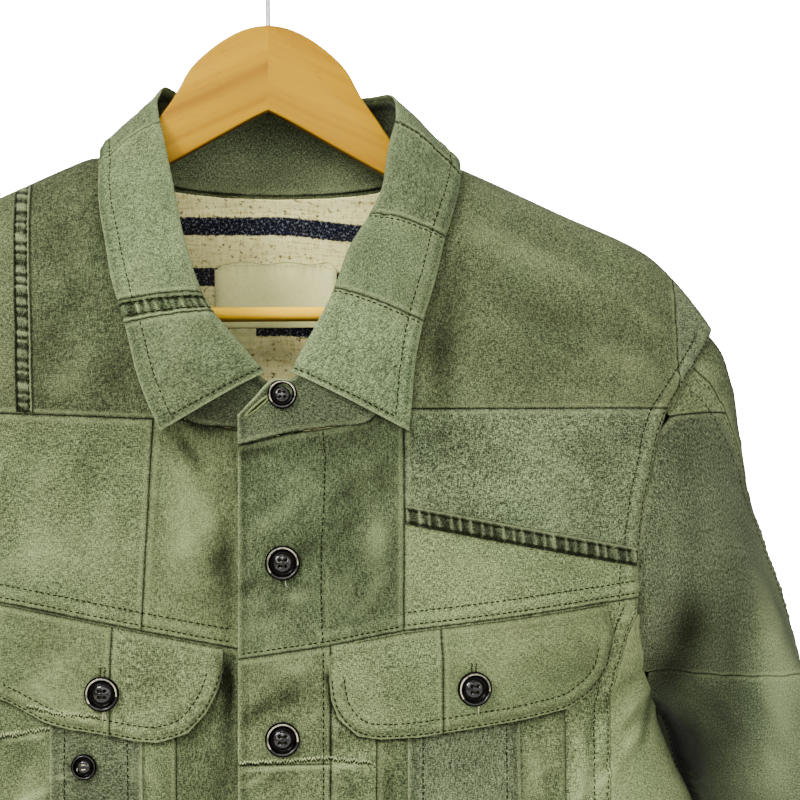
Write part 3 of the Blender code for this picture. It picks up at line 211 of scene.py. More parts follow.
# ---------------------------------------------------------------- relief, in millimetres
# start x, z; end x, z; half width; rise
FRONT_CREASES = (
    # left shoulder, from the neck and the collar down to the armhole
    (84, -182, 176, -216, 8, 0.9), (96, -204, 200, -246, 9, -0.8), (90, -232, 168, -262, 6, 0.6),
    (120, -176, 205, -213, 6, -0.5), (150, -238, 205, -262, 5, 0.7), (128, -254, 190, -276, 5, -0.5),
    (176, -212, 214, -244, 5, 0.8), (188, -228, 212, -262, 3.5, -0.7),
    # left chest and bust
    (72, -292, 118, -306, 7, -0.6), (110, -288, 172, -316, 8, 0.7), (86, -318, 150, -334, 6, 0.5),
    (150, -296, 188, -330, 5, -0.7), (166, -290, 194, -318, 4, 0.6), (74, -352, 128, -372, 7, 0.7),
    (112, -362, 176, -370, 6, -0.6), (140, -368, 186, -376, 4, 0.6),
    # centre patch and placket
    (36, -306, 44, -388, 6, -0.9), (48, -300, 56, -372, 5, 0.7), (30, -312, 18, -352, 4, 0.5),
    (-12, -318, -4, -350, 5, 0.5), (-14, -372, 16, -396, 4, -0.5), (8, -330, 20, -345, 4, -0.6),
    (40, -392, 58, -362, 4, 0.6), (-16, -410, 20, -420, 4, 0.5), (-18, -436, 22, -428, 4, -0.5),
    # right chest
    (-30, -304, -34, -392, 5, -1.1), (-46, -300, -44, -372, 6, 0.8), (-60, -306, -56, -384, 4, -0.6),
    (-84, -296, -90, -372, 8, 0.7), (-104, -300, -98, -350, 6, -0.7), (-120, -304, -124, -374, 7, 0.6),
    (-136, -310, -150, -366, 6, -0.6), (-110, -352, -150, -372, 5, 0.6), (-24, -330, -38, -350, 4, 0.6),
    (-160, -298, -182, -340, 5, 0.8), (-150, -330, -186, -366, 5, -0.7),
    # soft folds that pull across the placket, and beside it
    (-24, -305, 0, -301, 3.2, -1.8), (42, -320, 24, -334, 5, -1.4), (62, -312, 36, -330, 7, -1.2),
    (4, -325, -19, -341, 4.5, -1.3), (-23, -377, -6, -369, 3.5, -1.7), (-6, -374, 24, -371, 4, -1.0),
    (-15, -389, 8, -380, 3, -1.2), (-5, -323, 17, -313, 6, 1.1), (3, -379, 18, -366, 5, 1.0),
    (38, -355, 58, -342, 7, 0.8), (-54, -293, -36, -317, 3, -1.6), (-28, -354, -38, -369, 5, -1.0),
    (-26, -346, -25, -404, 4, -2.0), (-54, -318, -48, -358, 9, 0.8), (-21, -447, -2, -434, 4, -1.3),
    (1, -432, 13, -420, 3.5, -1.1), (3, -418, 19, -409, 4, 1.0), (-27, -404, -26, -446, 4, -2.2),
    # right shoulder
    (-86, -190, -124, -226, 7, 0.8), (-92, -214, -126, -258, 7, -0.8), (-96, -250, -122, -276, 6, 0.6),
    (-88, -262, -76, -284, 5, -0.6), (-140, -186, -190, -220, 7, 0.8), (-142, -222, -206, -252, 7, -0.8),
    (-144, -250, -196, -272, 6, 0.6), (-150, -204, -200, -234, 5, -0.5),
    # below the yoke, outside the pockets
    (203, -429, 178, -452, 3.5, 1.6), (198, -420, 168, -440, 3, -1.2), (196, -446, 170, -474, 4, 1.4),
    (186, -462, 158, -486, 4, -1.3), (182, -471, 152, -480, 2.5, 1.3), (176, -430, 162, -470, 4, -0.9),
    (160, -452, 154, -500, 4, 0.9), (170, -500, 150, -560, 7, 1.2), (160, -540, 166, -640, 9, -1.0),
    (150, -620, 160, -760, 10, 1.2), (38, -470, 44, -560, 5, -1.0), (32, -540, 40, -700, 7, 1.0),
    (-40, -458, -34, -520, 5, 1.1), (-28, -462, -24, -560, 4, -1.0), (-46, -470, -50, -540, 3, -0.8),
    (-30, -560, -40, -720, 8, 1.1), (-60, -620, -90, -740, 9, -1.0), (-110, -630, -100, -770, 9, 1.1),
    (-150, -440, -176, -470, 4, 1.4), (-156, -430, -190, -446, 3, -1.2), (-152, -480, -166, -560, 6, 1.0),
    (-158, -590, -150, -740, 9, -1.1), (70, -620, 100, -740, 9, 1.1), (110, -610, 128, -770, 9, -1.0),
    # pockets
    (52, -452, 60, -470, 3, 0.8), (58, -462, 54, -500, 3, -0.8), (130, -452, 142, -492, 4, 0.9),
    (136, -470, 146, -520, 4, -0.9), (80, -470, 106, -520, 6, 0.7), (112, -480, 84, -560, 7, -0.7),
    (90, -540, 96, -596, 6, 0.8), (-72, -462, -58, -474, 3, 0.9), (-60, -455, -54, -500, 3, -0.8),
    (-84, -474, -104, -500, 5, -0.8), (-114, -466, -106, -463, 2, 1.2), (-130, -482, -116, -474, 2, 1.2),
    (-124, -462, -140, -500, 4, 0.9), (-96, -500, -84, -590, 7, 0.8), (-130, -520, -122, -590, 6, -0.8),
    # flaps
    (32, -412, 60, -436, 5, 0.6), (44, -418, 78, -438, 4, -0.6), (92, -404, 122, -432, 6, 0.6),
    (118, -408, 160, -424, 5, -0.6), (140, -398, 166, -416, 4, 0.6), (60, -408, 70, -442, 4, 0.4),
    (-40, -416, -62, -440, 5, 0.6), (-54, -410, -80, -442, 4, -0.6), (-98, -400, -130, -424, 6, 0.6),
    (-112, -412, -146, -422, 4, -0.7), (-126, -420, -110, -434, 3, 0.8), (-140, -398, -160, -412, 4, 0.6),
)
BACK_CREASES = (
    (20, -190, 34, -290, 12, 1.0), (-26, -186, -44, -300, 13, -1.0), (90, -176, 178, -240, 9, 1.1),
    (70, -196, 150, -270, 10, -1.0), (-84, -178, -170, -238, 9, 1.0), (-60, -206, -160, -276, 10, -1.1),
    (186, -236, 196, -300, 6, 1.0), (-184, -230, -198, -304, 6, 0.9), (60, -320, 120, -420, 12, 1.3),
    (140, -330, 186, -400, 9, -1.4), (176, -380, 140, -470, 8, 1.4), (-70, -322, -130, -410, 12, 1.2),
    (-150, -328, -188, -398, 9, -1.4), (-180, -384, -138, -474, 8, 1.3), (24, -330, 18, -480, 10, -1.1),
    (-30, -340, -36, -500, 11, 1.1), (190, -450, 150, -540, 8, -1.5), (-192, -452, -146, -548, 8, -1.4),
    (100, -460, 70, -620, 14, 1.4), (-90, -480, -74, -640, 14, 1.4), (160, -520, 170, -700, 12, 1.2),
    (-166, -530, -160, -720, 12, 1.3), (40, -560, 54, -770, 13, -1.3), (-40, -600, -30, -770, 12, -1.2),
    (120, -600, 110, -780, 12, -1.2), (-118, -620, -126, -780, 13, -1.2), (200, -600, 196, -760, 9, 1.0),
    (-204, -610, -200, -770, 9, -1.0), (0, -420, 10, -520, 8, 0.9),
)
# in the sleeve's own cloth: round from the outer side towards the front, down from the armhole
SLEEVE_CREASES = (
    (24, 40, 34, 250, 8, 2.2), (46, 60, 60, 330, 10, -2.6), (72, 90, 80, 260, 8, 1.8),
    (96, 60, 92, 220, 7, -2.2), (116, 40, 104, 140, 6, 2.0), (128, 60, 116, 170, 5, -1.8),
    (14, 160, 20, 330, 5, -1.2), (60, 230, 104, 300, 7, 1.8), (50, 270, 110, 250, 6, -1.6),
    (40, 310, 100, 350, 8, 2.0), (30, 340, 90, 320, 7, -1.8), (66, 360, 72, 520, 9, 2.0),
    (92, 330, 100, 500, 8, -1.8), (30, 380, 36, 540, 8, -1.6), (120, 300, 130, 460, 8, 1.6),
    (150, 80, 162, 220, 8, 1.8), (176, 60, 184, 260, 9, -2.0), (206, 80, 200, 240, 9, 1.9),
    (232, 60, 240, 300, 9, -1.9), (256, 120, 250, 330, 8, 1.7), (276, 60, 284, 260, 8, -1.6),
    (160, 250, 230, 290, 8, -2.2), (170, 290, 246, 270, 7, 2.2), (166, 320, 240, 350, 9, -2.0),
    (186, 360, 190, 520, 9, 1.8), (216, 350, 226, 540, 9, -1.8), (256, 370, 262, 540, 9, 1.7),
    (8, 60, 5, 120, 4, 1.0), (300, 80, 304, 300, 8, 1.5), (300, 330, 296, 520, 8, -1.4),
)
# painted light and shade of the left sleeve's front folds and hollows, in millimetres: x, z, reach along x
# and z, lighter or darker
SLEEVE_PAINTED_LIGHT_AND_SHADE = (
    (213, -313, 13, 40, -0.12), (218, -392, 13, 26, -0.28), (203, -363, 8, 22, -0.10),
    (207, -360, 6, 30, 0.30), (195, -398, 6, 12, 0.20), (190, -391, 5, 20, -0.30), (240, -390, 9, 46, -0.12),
    (222, -462, 14, 34, -0.28), (205, -424, 12, 16, -0.34), (240, -452, 10, 36, -0.20),
    (232, -420, 10, 18, -0.08), (222, -300, 10, 30, -0.06), (286, -425, 8, 48, 0.55),
    (262, -390, 12, 60, 0.26), (262, -455, 10, 40, 0.16), (214, -400, 10, 18, -0.16),
)
PALE_SPOTS, DARK_SPOTS = 1.1, 2.2
CREASE_DEPTH, CRUMPLE = 1.7, 1.5
# painted light and shade: how much lighter a metre of height paints a pucker, and a fold; depth paints them
# darker
BODY_LIGHT, COLLAR_LIGHT, STAND_LIGHT, SLEEVE_LIGHT = (190, 110), (180, 90), (150, 80), (130, 50)
# in the collar leaf's own cloth: sections of 18 from the centre back, and 55 from fold to edge
COLLAR_CREASES = (
    (150, 14, 196, 40, 5, 0.6), (168, 8, 214, 30, 4, -0.6), (205, 38, 250, 22, 5, 0.7),
    (224, 12, 262, 34, 4, -0.6), (-150, 16, -196, 44, 5, 0.6), (-168, 10, -210, 30, 4, -0.6),
    (-212, 22, -246, 44, 5, 0.7), (-226, 44, -250, 20, 4, -0.5), (-40, 30, 36, 22, 7, 0.8),
    (-90, 16, -60, 44, 6, -0.7), (64, 20, 96, 44, 6, -0.7), (112, 30, 136, 14, 5, 0.5),
)
# stains, worn places and painted light and shade of folds and of shadows by the collar and flaps, in
# millimetres: x, z, reach along x and z, lighter or darker
FRONT_STAINS_AND_PAINTED_LIGHT = (
    (84, -300, 20, 12, -0.16), (178, -300, 20, 16, -0.14), (124, -322, 30, 10, 0.06),
    (150, -236, 26, 14, -0.06), (126, -200, 44, 14, 0.05), (84, -250, 9, 32, -0.32), (34, -338, 8, 22, -0.09),
    (52, -320, 8, 16, -0.12), (2, -324, 15, 15, -0.04), (8, -352, 20, 10, -0.10), (-8, -384, 16, 9, 0.06),
    (42, -376, 18, 16, 0.11), (58, -352, 6, 20, -0.06), (-46, -304, 14, 12, 0.16), (-30, -366, 6, 30, -0.12),
    (-52, -356, 12, 24, 0.06), (-92, -306, 16, 18, -0.14), (-110, -354, 24, 16, 0.10),
    (-136, -330, 8, 30, -0.05), (-84, -372, 16, 10, 0.05), (-96, -232, 18, 30, 0.06),
    (-118, -190, 12, 12, -0.10), (-90, -186, 7, 24, -0.20), (-84, -254, 9, 22, -0.16),
    (-112, -270, 12, 8, 0.08), (104, -366, 34, 9, 0.08), (160, -370, 22, 6, -0.06), (60, -418, 10, 12, -0.08),
    (118, -410, 26, 10, 0.06), (156, -412, 10, 10, -0.10), (44, -440, 14, 5, 0.10),
    (-60, -418, 14, 12, -0.06), (-118, -410, 18, 9, 0.08), (-140, -402, 16, 8, -0.06),
    (-100, -466, 7, 16, -0.22), (-84, -462, 8, 18, -0.10), (60, -478, 6, 16, -0.14),
    (94, -462, 16, 10, -0.10), (132, -468, 8, 20, 0.06), (166, -474, 16, 7, 0.26), (0, -432, 16, 14, -0.06),
    (4, -474, 18, 10, 0.08), (184, -420, 6, 26, 0.14), (-36, -470, 12, 24, -0.12), (-62, -488, 10, 12, 0.10),
    (160, -448, 8, 12, -0.08), (-36, -288, 13, 7, -0.24), (-30, -286, 20, 6, -0.20),
    (-44, -298, 34, 9, -0.15), (30, -298, 34, 9, -0.20), (92, -216, 9, 34, -0.15), (-133, -452, 16, 9, -0.20),
    (31, -452, 14, 7, -0.16), (-8, -472, 16, 8, -0.12), (-26, -425, 3.5, 20, -0.30),
    (-26, -452, 3, 14, -0.20), (46, -284, 18, 6, -0.16), (-30, -276, 16, 12, -0.20), (8, -468, 26, 10, -0.10),
    (36, -474, 10, 12, -0.12), (158, -464, 7, 18, 0.12), (130, -346, 30, 8, 0.12), (-4, -282, 60, 5, -0.10),
    (-24, -340, 5, 26, -0.08),
)
# pale streaks and ragged ridges of the front, and painted light and shade along its soft folds, in
# millimetres: start, end, half width, lightness
FRONT_SCUFFS_AND_FOLD_SHADE = (
    (-21, -466.6, 51, -465.4, 1.5, 0.85), (-21, -474.2, -4, -467.0, 1.6, 0.75),
    (-9, -477.0, 27, -469.5, 2.2, 0.25), (-126, -436.4, -90, -441.2, 1.5, 0.70),
    (-143, -452.8, -117, -447.6, 1.5, 0.70), (-20, -480, 8, -474, 1.8, 0.20),
    (-134, -482.5, -114, -474.4, 1.5, 0.70), (-118, -470.9, -103, -465.6, 1.4, 0.65),
    (-142, -472.0, -118, -456.0, 2.4, -0.30), (-118, -484.0, -108, -462.0, 2.0, -0.25),
    (151, -486.5, 182, -474.0, 1.6, 0.90), (204, -424.0, 193, -462.0, 3.2, -0.60),
    (209, -432, 199, -466, 3.0, 0.30), (-17, -442.0, 7, -424.0, 3.6, -0.35),
    (-21, -430.0, 7, -410.0, 5.0, 0.20), (-5, -438, 21, -424, 2.8, -0.25), (6, -446, 24, -432, 2.6, 0.18),
    (-13, -370, 32, -331, 5.0, -0.30), (16, -359, 57, -317, 5.0, -0.26), (-17, -344, 24, -315, 6.0, 0.22),
    (28, -374, 60, -340, 6.0, 0.14), (-18, -398, 20, -372, 5.0, 0.14), (-54, -292, -38, -314, 4.0, -0.36),
    (-37, -367, -22, -349, 3.6, -0.16), (-60, -372, -34, -330, 5.0, 0.14), (-46, -318, -30, -350, 4.5, 0.16),
    (112, -470, 126, -492, 2.0, -0.20), (121, -478, 140, -466, 1.6, 0.20), (60, -470, 66, -492, 2.0, 0.25),
    (150, -446, 158, -476, 3.0, -0.18), (-74, -460, -70, -486, 2.4, 0.20),
)


# ---------------------------------------------------------------- small tools
def unit(vectors):
    return vectors / np.maximum(np.linalg.norm(vectors, axis=-1, keepdims=True), 1e-12)


def ease(t):
    t = np.clip(t, 0.0, 1.0)
    return t * t * (3 - 2 * t)


def bell(away, reach):
    """1 where nothing is away, falling softly to 0 past the reach."""
    return np.exp(-((away / reach) ** 2))


def curve(rows, key, column=1):
    """A column of a table read through a smooth curve."""
    keys = np.array([row[0] for row in rows])
    values = np.array([row[column] for row in rows])
    last = len(keys) - 1
    index = np.arange(last + 1)
    low, high = np.maximum(index - 1, 0), np.minimum(index + 1, last)
    slopes = (values[high] - values[low]) / (keys[high] - keys[low])
    key = np.clip(key, keys[0], keys[-1])
    i = np.clip(np.searchsorted(keys, key, side="right") - 1, 0, last - 1)
    span = keys[i + 1] - keys[i]
    t = (key - keys[i]) / span
    return (
        (2 * t**3 - 3 * t**2 + 1) * values[i] + (t**3 - 2 * t**2 + t) * slopes[i] * span
        + (3 * t**2 - 2 * t**3) * values[i + 1] + (t**3 - t**2) * slopes[i + 1] * span
    )


def line(rows, column=1):
    """A table as a function of its first column, along straight lines."""
    rows = sorted(rows)
    return lambda key: np.interp(key, [row[0] for row in rows], [row[column] for row in rows])


def swapped(rows):
    return [(z, x) for x, z in rows]


def fixed(value):
    return lambda key: np.full(np.shape(key), value)


def mirrored(edge):
    return lambda key: -edge(key)


def noise(points, cell, seed):
    """Smooth noise between -1 and 1, whose lumps are about this wide."""
    values = np.random.default_rng(seed).uniform(-1, 1, 4096)
    place = points / cell
    base = np.floor(place).astype(np.int64)
    t = ease(place - base)
    total = 0
    for corner in itertools.product((0, 1), repeat=3):
        a, b, c = np.moveaxis(base + corner, -1, 0)
        key = (a * 73856093 ^ b * 19349663 ^ c * 83492791) & 4095
        total = total + values[key] * np.prod(np.where(corner, t, 1 - t), axis=-1)
    return total


def strokes(rows, x, z):
    """Height in metres of soft ridges and troughs that taper at both ends, at x and z in metres."""
    x, z = x * 1000, z * 1000
    total = np.zeros(np.shape(x))
    for x0, z0, x1, z1, width, rise in rows:
        reach = 3 * width
        if max(x0, x1) + reach < x.min() or min(x0, x1) - reach > x.max():
            continue
        if max(z0, z1) + reach < z.min() or min(z0, z1) - reach > z.max():
            continue
        run, drop = x1 - x0, z1 - z0
        length = math.hypot(run, drop)
        t = np.clip(((x - x0) * run + (z - z0) * drop) / length**2, 0.0, 1.0)
        bow = 0.06 * length * math.sin(x0 + z1) * np.sin(math.pi * t)
        off = ((x - x0) * drop - (z - z0) * run) / length - bow
        total += rise * np.sin(math.pi * t) ** 0.7 * bell(off, width)
    return total / 1000


def run_of(points):
    """Distances along a line of points, from its first one."""
    return np.concatenate([[0.0], np.cumsum(np.linalg.norm(np.diff(points, axis=0), axis=1))])


def distance_to(path, x, z):
    """Distance of each point to a line through the path's corners."""
    best = np.full(np.shape(x), 1.0)
    for (x0, z0), (x1, z1) in zip(path, path[1:]):
        run, drop = x1 - x0, z1 - z0
        t = np.clip(((x - x0) * run + (z - z0) * drop) / (run * run + drop * drop), 0, 1)
        best = np.minimum(best, np.hypot(x - x0 - run * t, z - z0 - drop * t))
    return best


def spots(rows, x, z):
    """Lightness of soft stains, worn places and painted light and shade, at x and z in metres."""
    x, z = x * 1000, z * 1000
    total = np.zeros(np.shape(x))
    for x0, z0, reach_x, reach_z, value in rows:
        strength = PALE_SPOTS if value > 0 else DARK_SPOTS
        total += strength * value * bell(x - x0, reach_x) * bell(z - z0, reach_z)
    return total


def puckers(path, reach, pitch, rise, seed, sides=(-1, 1)):
    """Short ridges that run out from a seam, whose path is in metres, to its sides; rows for strokes()."""
    draw = np.random.default_rng(seed)
    path = np.array(path) * 1000
    steps = np.linalg.norm(np.diff(path, axis=0), axis=1)
    lengths = np.concatenate([[0.0], np.cumsum(steps)])
    rows = []
    place = pitch * draw.uniform(0.3, 1.0)
    while place < lengths[-1]:
        i = min(int(np.searchsorted(lengths, place)), len(steps)) - 1
        way = (path[i + 1] - path[i]) / steps[i]
        point = path[i] + way * (place - lengths[i])
        across = np.array((-way[1], way[0]))
        for side in sides:
            run = reach * draw.uniform(0.4, 1.4)
            lean = draw.uniform(-0.5, 0.5) * run
            height = rise * draw.uniform(0.2, 1.3)
            width = draw.uniform(1.2, 2.6)
            start, end = point - side * across * 2.5, point + side * across * run + way * lean
            rows.append((*start, *end, width, height))
        place += pitch * draw.uniform(0.5, 1.7)
    return rows


def puckered(first_seed, seams):
    """The puckers of several seams, each with the next seed."""
    rows = []
    for seed, (path, reach, pitch, rise, *sides) in enumerate(seams, first_seed):
        rows += puckers(path, reach, pitch, rise, seed, *sides)
    return rows


# ---------------------------------------------------------------- the body's surface
def shoulder_z(x):
    """The ridge of the shoulders; the wearer's right one hangs a little higher."""
    hitch = ease((-x - 0.080) / 0.025) * ease((0.215 + x) / 0.060)
    return curve(SHOULDER, np.abs(x)) + SHOULDER_HITCH * hitch


def half_width(z):
    return curve(HALF_WIDTH, z)


def body_point(turn, z, face):
    width = half_width(z)
    x = width * np.sin(turn)
    fallen = np.clip((shoulder_z(x) - z) / SHOULDER_DROP, 0.0, 1.0)
    rise = (1 - (1 - fallen) ** 2) ** RIDGE_POWER
    flat = np.maximum(1 - np.abs(np.sin(turn)) ** SIDE_POWER, 0.0) ** 0.5
    depth = FRONT_DEPTH if face < 0 else BACK_DEPTH
    return np.stack([x, face * (SEAM_GAP / 2 + depth * rise * flat), z + 0 * x], axis=-1)


def body_normal(turn, z, face):
    step, drop = 1e-4, 1e-5
    low = np.minimum(z, shoulder_z(half_width(z) * np.sin(turn)) - drop) - drop
    across = body_point(turn + step, low, face) - body_point(turn - step, low, face)
    down = body_point(turn, low - drop, face) - body_point(turn, low + drop, face)
    return unit(np.cross(across, down) * face)


def turn_of(x, z):
    return np.arcsin(np.clip(x / half_width(z), -1.0, 1.0))


def armhole_x(z, face):
    return line(ARMHOLE, 1 if face < 0 else 2)(z)


def front_armhole(z):
    return armhole_x(z, -1)


def back_edge(z):
    return np.where(z > UNDERARM_Z, armhole_x(z, 1), half_width(z))


def side_edge(z):
    return np.where(z > UNDERARM_Z, armhole_x(z, -1), half_width(z))


front_neck_x = line(swapped(NECKLINE[:NECK_SIDE]))
front_neck_z = line(NECKLINE)
side_seam_x = line(SIDE_SEAM)
yoke_left, yoke_right = line(YOKE_LEFT), line(YOKE_RIGHT)
fell_left, fell_right = line(LEFT_FELL), line(RIGHT_FELL)
chest_right, centre_right = line(CHEST_RIGHT), line(CENTRE_RIGHT)


def back_neck_z(x):
    return np.where(np.abs(x) > BACK_NECKLINE[0][0], shoulder_z(x), line(BACK_NECKLINE)(np.abs(x)))


def placket_lift(x, z=0):
    """The buttoned front lies over the other one and comes back to its own level."""
    return STACK * ease((PLACKET_RAMP - x) / (PLACKET_RAMP - PLACKET_RIGHT))


def along_x(edge, start, end, count=24):
    return [(x, float(edge(x))) for x in np.linspace(start, end, count)]


def along_z(edge, start, end, count=24):
    return [(float(edge(z)), z) for z in np.linspace(start, end, count)]


FRONT_PUCKERS = puckered(1, (
    (along_x(yoke_left, -0.0209, 0.1915), 9, 7, 0.50),
    (along_x(yoke_right, -0.1915, -0.0209), 9, 7, 0.50),
    (along_x(fell_left, 0.0645, 0.1900), 8, 5, 0.55),
    (along_z(fell_right, -0.172, -0.283), 6, 6, 0.45),
    (along_z(front_armhole, -0.245, -0.440), 12, 6, 0.60, (-1,)),
    (along_z(mirrored(front_armhole), -0.245, -0.440), 12, 6, 0.60, (1,)),
    (along_x(fixed(CHEST_LEFT_Z), 0.0645, 0.2078), 6, 9, 0.35),
    (along_x(chest_right, -0.2078, -0.0643), 6, 9, 0.35),
    (along_z(fixed(CENTRE_LEFT_X), -0.290, -0.395), 5, 10, 0.30),
    (along_z(centre_right, -0.290, -0.395), 5, 10, 0.30),
    (along_z(fixed(0.0226), -0.296, -0.400), 6, 6, 0.45),
    (along_z(fixed(0.0235), -0.410, -0.785), 6, 8, 0.45),
    (along_x(fixed(PLACKET_JOIN_Z), -0.0209, 0.0483), 7, 4, 0.60),
    (along_z(side_seam_x, -0.385, -0.780), 8, 6, 0.60),
    (along_z(mirrored(side_seam_x), -0.385, -0.780), 8, 6, 0.60),
    (NECKLINE[8:], 8, 6, 0.50),
    (along_z(fixed(TIP_X), -0.215, -0.268), 5, 6, 0.35),
    (FLAPS["left"], 7, 5, 0.40),
    (FLAPS["right"], 7, 5, 0.40),
    ([(-0.1429, -0.4494), (-0.1164, -0.4451)], 6, 3.5, 0.8),
))
BACK_PUCKERS = puckered(21, (
    (along_x(fixed(BACK_YOKE_Z), -0.200, 0.200), 10, 7, 0.55),
    (along_z(fixed(0.0), -0.316, -0.785), 8, 7, 0.50),
    (along_z(back_edge, -0.245, -0.440), 12, 6, 0.60, (-1,)),
    (along_z(mirrored(back_edge), -0.245, -0.440), 12, 6, 0.60, (1,)),
    (along_x(fixed(HEM_Z + 0.015), -0.160, 0.160), 9, 8, 0.60),
))
FLY_EDGE = [(-24.5, -292, -24.3, -342, 0.6, -2.0), (-22.8, -298, -22.9, -337, 0.5, 0.8)]
HEM_PUCKERS = puckers([(-0.165, HEM_Z + 0.015), (0.165, HEM_Z + 0.015)], 9, 8, 0.60, 26)


def crumple(points, seed):
    """The small soft creasing of washed cloth, in metres."""
    return CRUMPLE * (
        0.0007 * noise(points, 0.055, seed) + 0.0005 * noise(points, 0.024, seed + 1)
        - 0.0003 * np.abs(noise(points, 0.014, seed + 2)) + 0.00012 * noise(points, 0.006, seed + 3)
    )


def banded(off, rows, wide):
    """The padded band beside a seam, paler, with the grooves that its rows of stitches pull into it painted
    darker as shade.
    """
    inside = ease(off / 0.0012) * ease((wide - off) / 0.0012)
    pad = np.sin(np.pi * np.clip(off / wide, 0, 1))
    groove = sum(bell(off - row, 0.0010) for row in rows)
    return 0.00045 * pad - 0.00032 * groove, inside * (0.10 - 0.26 * groove)


def front_bands(x, z):
    """The bands above the yoke seams, and inside the armholes and the side seams."""
    height, shade = np.zeros(np.shape(x)), np.zeros(np.shape(x))
    high = z > UNDERARM_Z + 0.055
    edge = np.where(high, front_armhole(z) - np.abs(x), side_seam_x(z) - np.abs(x))
    for off, rows, wide, where in (
        (z - yoke_left(x), YOKE_ROWS, 0.0102, x > 0.0200),
        (z - yoke_left(x), (0.0025,), 0.0034, (x > PLACKET_LEFT) & (x <= 0.0200)),
        (z - yoke_right(x), YOKE_ROWS, 0.0102, (x < PLACKET_LEFT) & (x > -0.1915)),
        (edge, (0.0018, 0.0092), 0.0108, (z < -0.2380) & (np.abs(x) > 0.140)),
        (0.0262 - x, (0.0036,), 0.0052, (x > 0.0150) & (z < -0.2950)),
    ):
        more, tone = banded(off, rows, wide)
        height, shade = height + np.where(where, more, 0.0), shade + np.where(where, tone, 0.0)
    return height, shade


def body_relief(points, face):
    """Height, and the share of light or dark that goes with it, of the cloth of the body."""
    x, z = points[..., 0], points[..., 2]
    main = FRONT_CREASES if face < 0 else BACK_CREASES
    small = FRONT_PUCKERS + FLY_EDGE + HEM_PUCKERS if face < 0 else BACK_PUCKERS
    calm = ease((shoulder_z(x) - z) / 0.030)
    fine = strokes(small, x, z)
    folds = crumple(points, 40 + face) + CREASE_DEPTH * strokes(main, x, z)
    height = calm * folds + fine * ease((shoulder_z(x) - z) / 0.006)
    shade = spots(FRONT_STAINS_AND_PAINTED_LIGHT, x, z) if face < 0 else 0.10 * noise(points, 0.050, 77)
    shade = shade + BODY_LIGHT[0] * fine + BODY_LIGHT[1] * (height - fine)
    if face < 0:
        more, tone = front_bands(x, z)
        # the scuffs' lightness includes painted light and shade along the soft folds
        scuffs_and_fold_shade = strokes(FRONT_SCUFFS_AND_FOLD_SHADE, x, z)
        height, shade = height + more + 0.6 * scuffs_and_fold_shade, shade + tone + 1000 * scuffs_and_fold_shade - flap_shadow(x, z)
    return height, shade


def flap_shadow(x, z):
    """The shade that both flaps throw on the cloth just outside their edges."""
    total = np.zeros(np.shape(x))
    for outline in FLAPS.values():
        foot, first, last = line(outline), outline[0][0], outline[-1][0]
        outside = (z < foot(x)) | (x < first) | (x > last)
        near = outside & (z < -0.395) & (z > -0.462) & (x > first - 0.01) & (x < last + 0.01)
        if near.any():
            gap = distance_to(outline, x[near], z[near])
            total[near] += 0.75 * bell(gap, 0.0016) + 0.28 * bell(gap, 0.0050)
    return total


def on_body(x, z, face, lift=0.0):
    """The relieved surface of the body at x, z, in the frame."""
    turn = turn_of(x, z)
    base, normal = body_point(turn, z, face), body_normal(turn, z, face)
    height, _ = body_relief(base, face)
    return base + normal * (height + lift)[..., None] + (CENTRE_X, 0, 0), normal


# ---------------------------------------------------------------- grids
HIDDEN_CELL, THINNEST = 0.0070, 0.0004      # cells of an inner side that is never seen; least wall at a rim
LEAST_FLAT_SIDE, LEAST_FLAT_SHARE = 0.0120, 0.31
SEEN_FOOT_Z, SEEN_CELL, LOW_CELL = -0.487, 0.0014, 0.0038      # the cells grow below the foot of the photo
BACK_YOKE_CELL, BACK_CELL, LINING_CELL, TAB_CELL = 0.0038, 0.0042, 0.0030, 0.0012
COLLAR_FELL_CELL, STAND_CELL = 0.0009, 0.0018
SOLVE_FROM_Z, SOLVE_ROUNDS = -0.3, 24
RIM_ROWS = (0.0, 0.00030, 0.0007, 0.0013)
RIDGE_ROWS = (0.0, 0.0002, 0.0008, 0.0020, 0.0038, 0.0062, 0.0092)
# a rim's drop and reach, then its bands of wear above 0 and of grime below: distance in, reach, strength
DARK_SEAM = ((0.0, 0.0007, -0.85), (0.0, 0.0040, -0.22), (0.0020, 0.0010, 0.40))
RUBBED = ((0.0, 0.0011, 0.48), (0.0032, 0.0016, -0.35))
SEAM, SEWN = (0.00055, 0.0009, DARK_SEAM), (0.00105, 0.0022, DARK_SEAM)
FREE, OPEN = (0.00050, 0.0012, RUBBED), (0.00020, 0.0009, RUBBED)
FOLD = (0.00040, 0.0016, ((0.0, 0.0040, 0.20),))
THIN = (0.00045, 0.0008, ((0.0, 0.0006, -0.45), (0.0014, 0.0010, 0.26)))


def spaced(length, pitch, fine=None, coarse=LOW_CELL, ridge=False):
    """Shares of a length: close at both ends, then a pitch, then a coarse one past the fine stretch."""
    places = list(RIDGE_ROWS if ridge else RIM_ROWS)
    stop = length - RIM_ROWS[-1]
    while places[-1] < stop:
        places.append(places[-1] + (pitch if fine is None or places[-1] < fine else coarse))
    inner = [p for p in places if p < stop - 0.4 * pitch]
    return np.array([*inner, *(length - r for r in reversed(RIM_ROWS))]) / length


def arc(points, axis):
    """Distances along the rows or columns of a grid, and their whole."""
    steps = np.linalg.norm(np.diff(points, axis=axis), axis=-1)
    pad = [(0, 0), (0, 0)]
    pad[axis] = (1, 0)
    run = np.cumsum(np.pad(steps, pad), axis=axis)
    return run, np.take(run, [-1], axis=axis)


def extents(points):
    """The greatest width and height of a grid of points."""
    return arc(points, 1)[1].max(), arc(points, 0)[1].max()


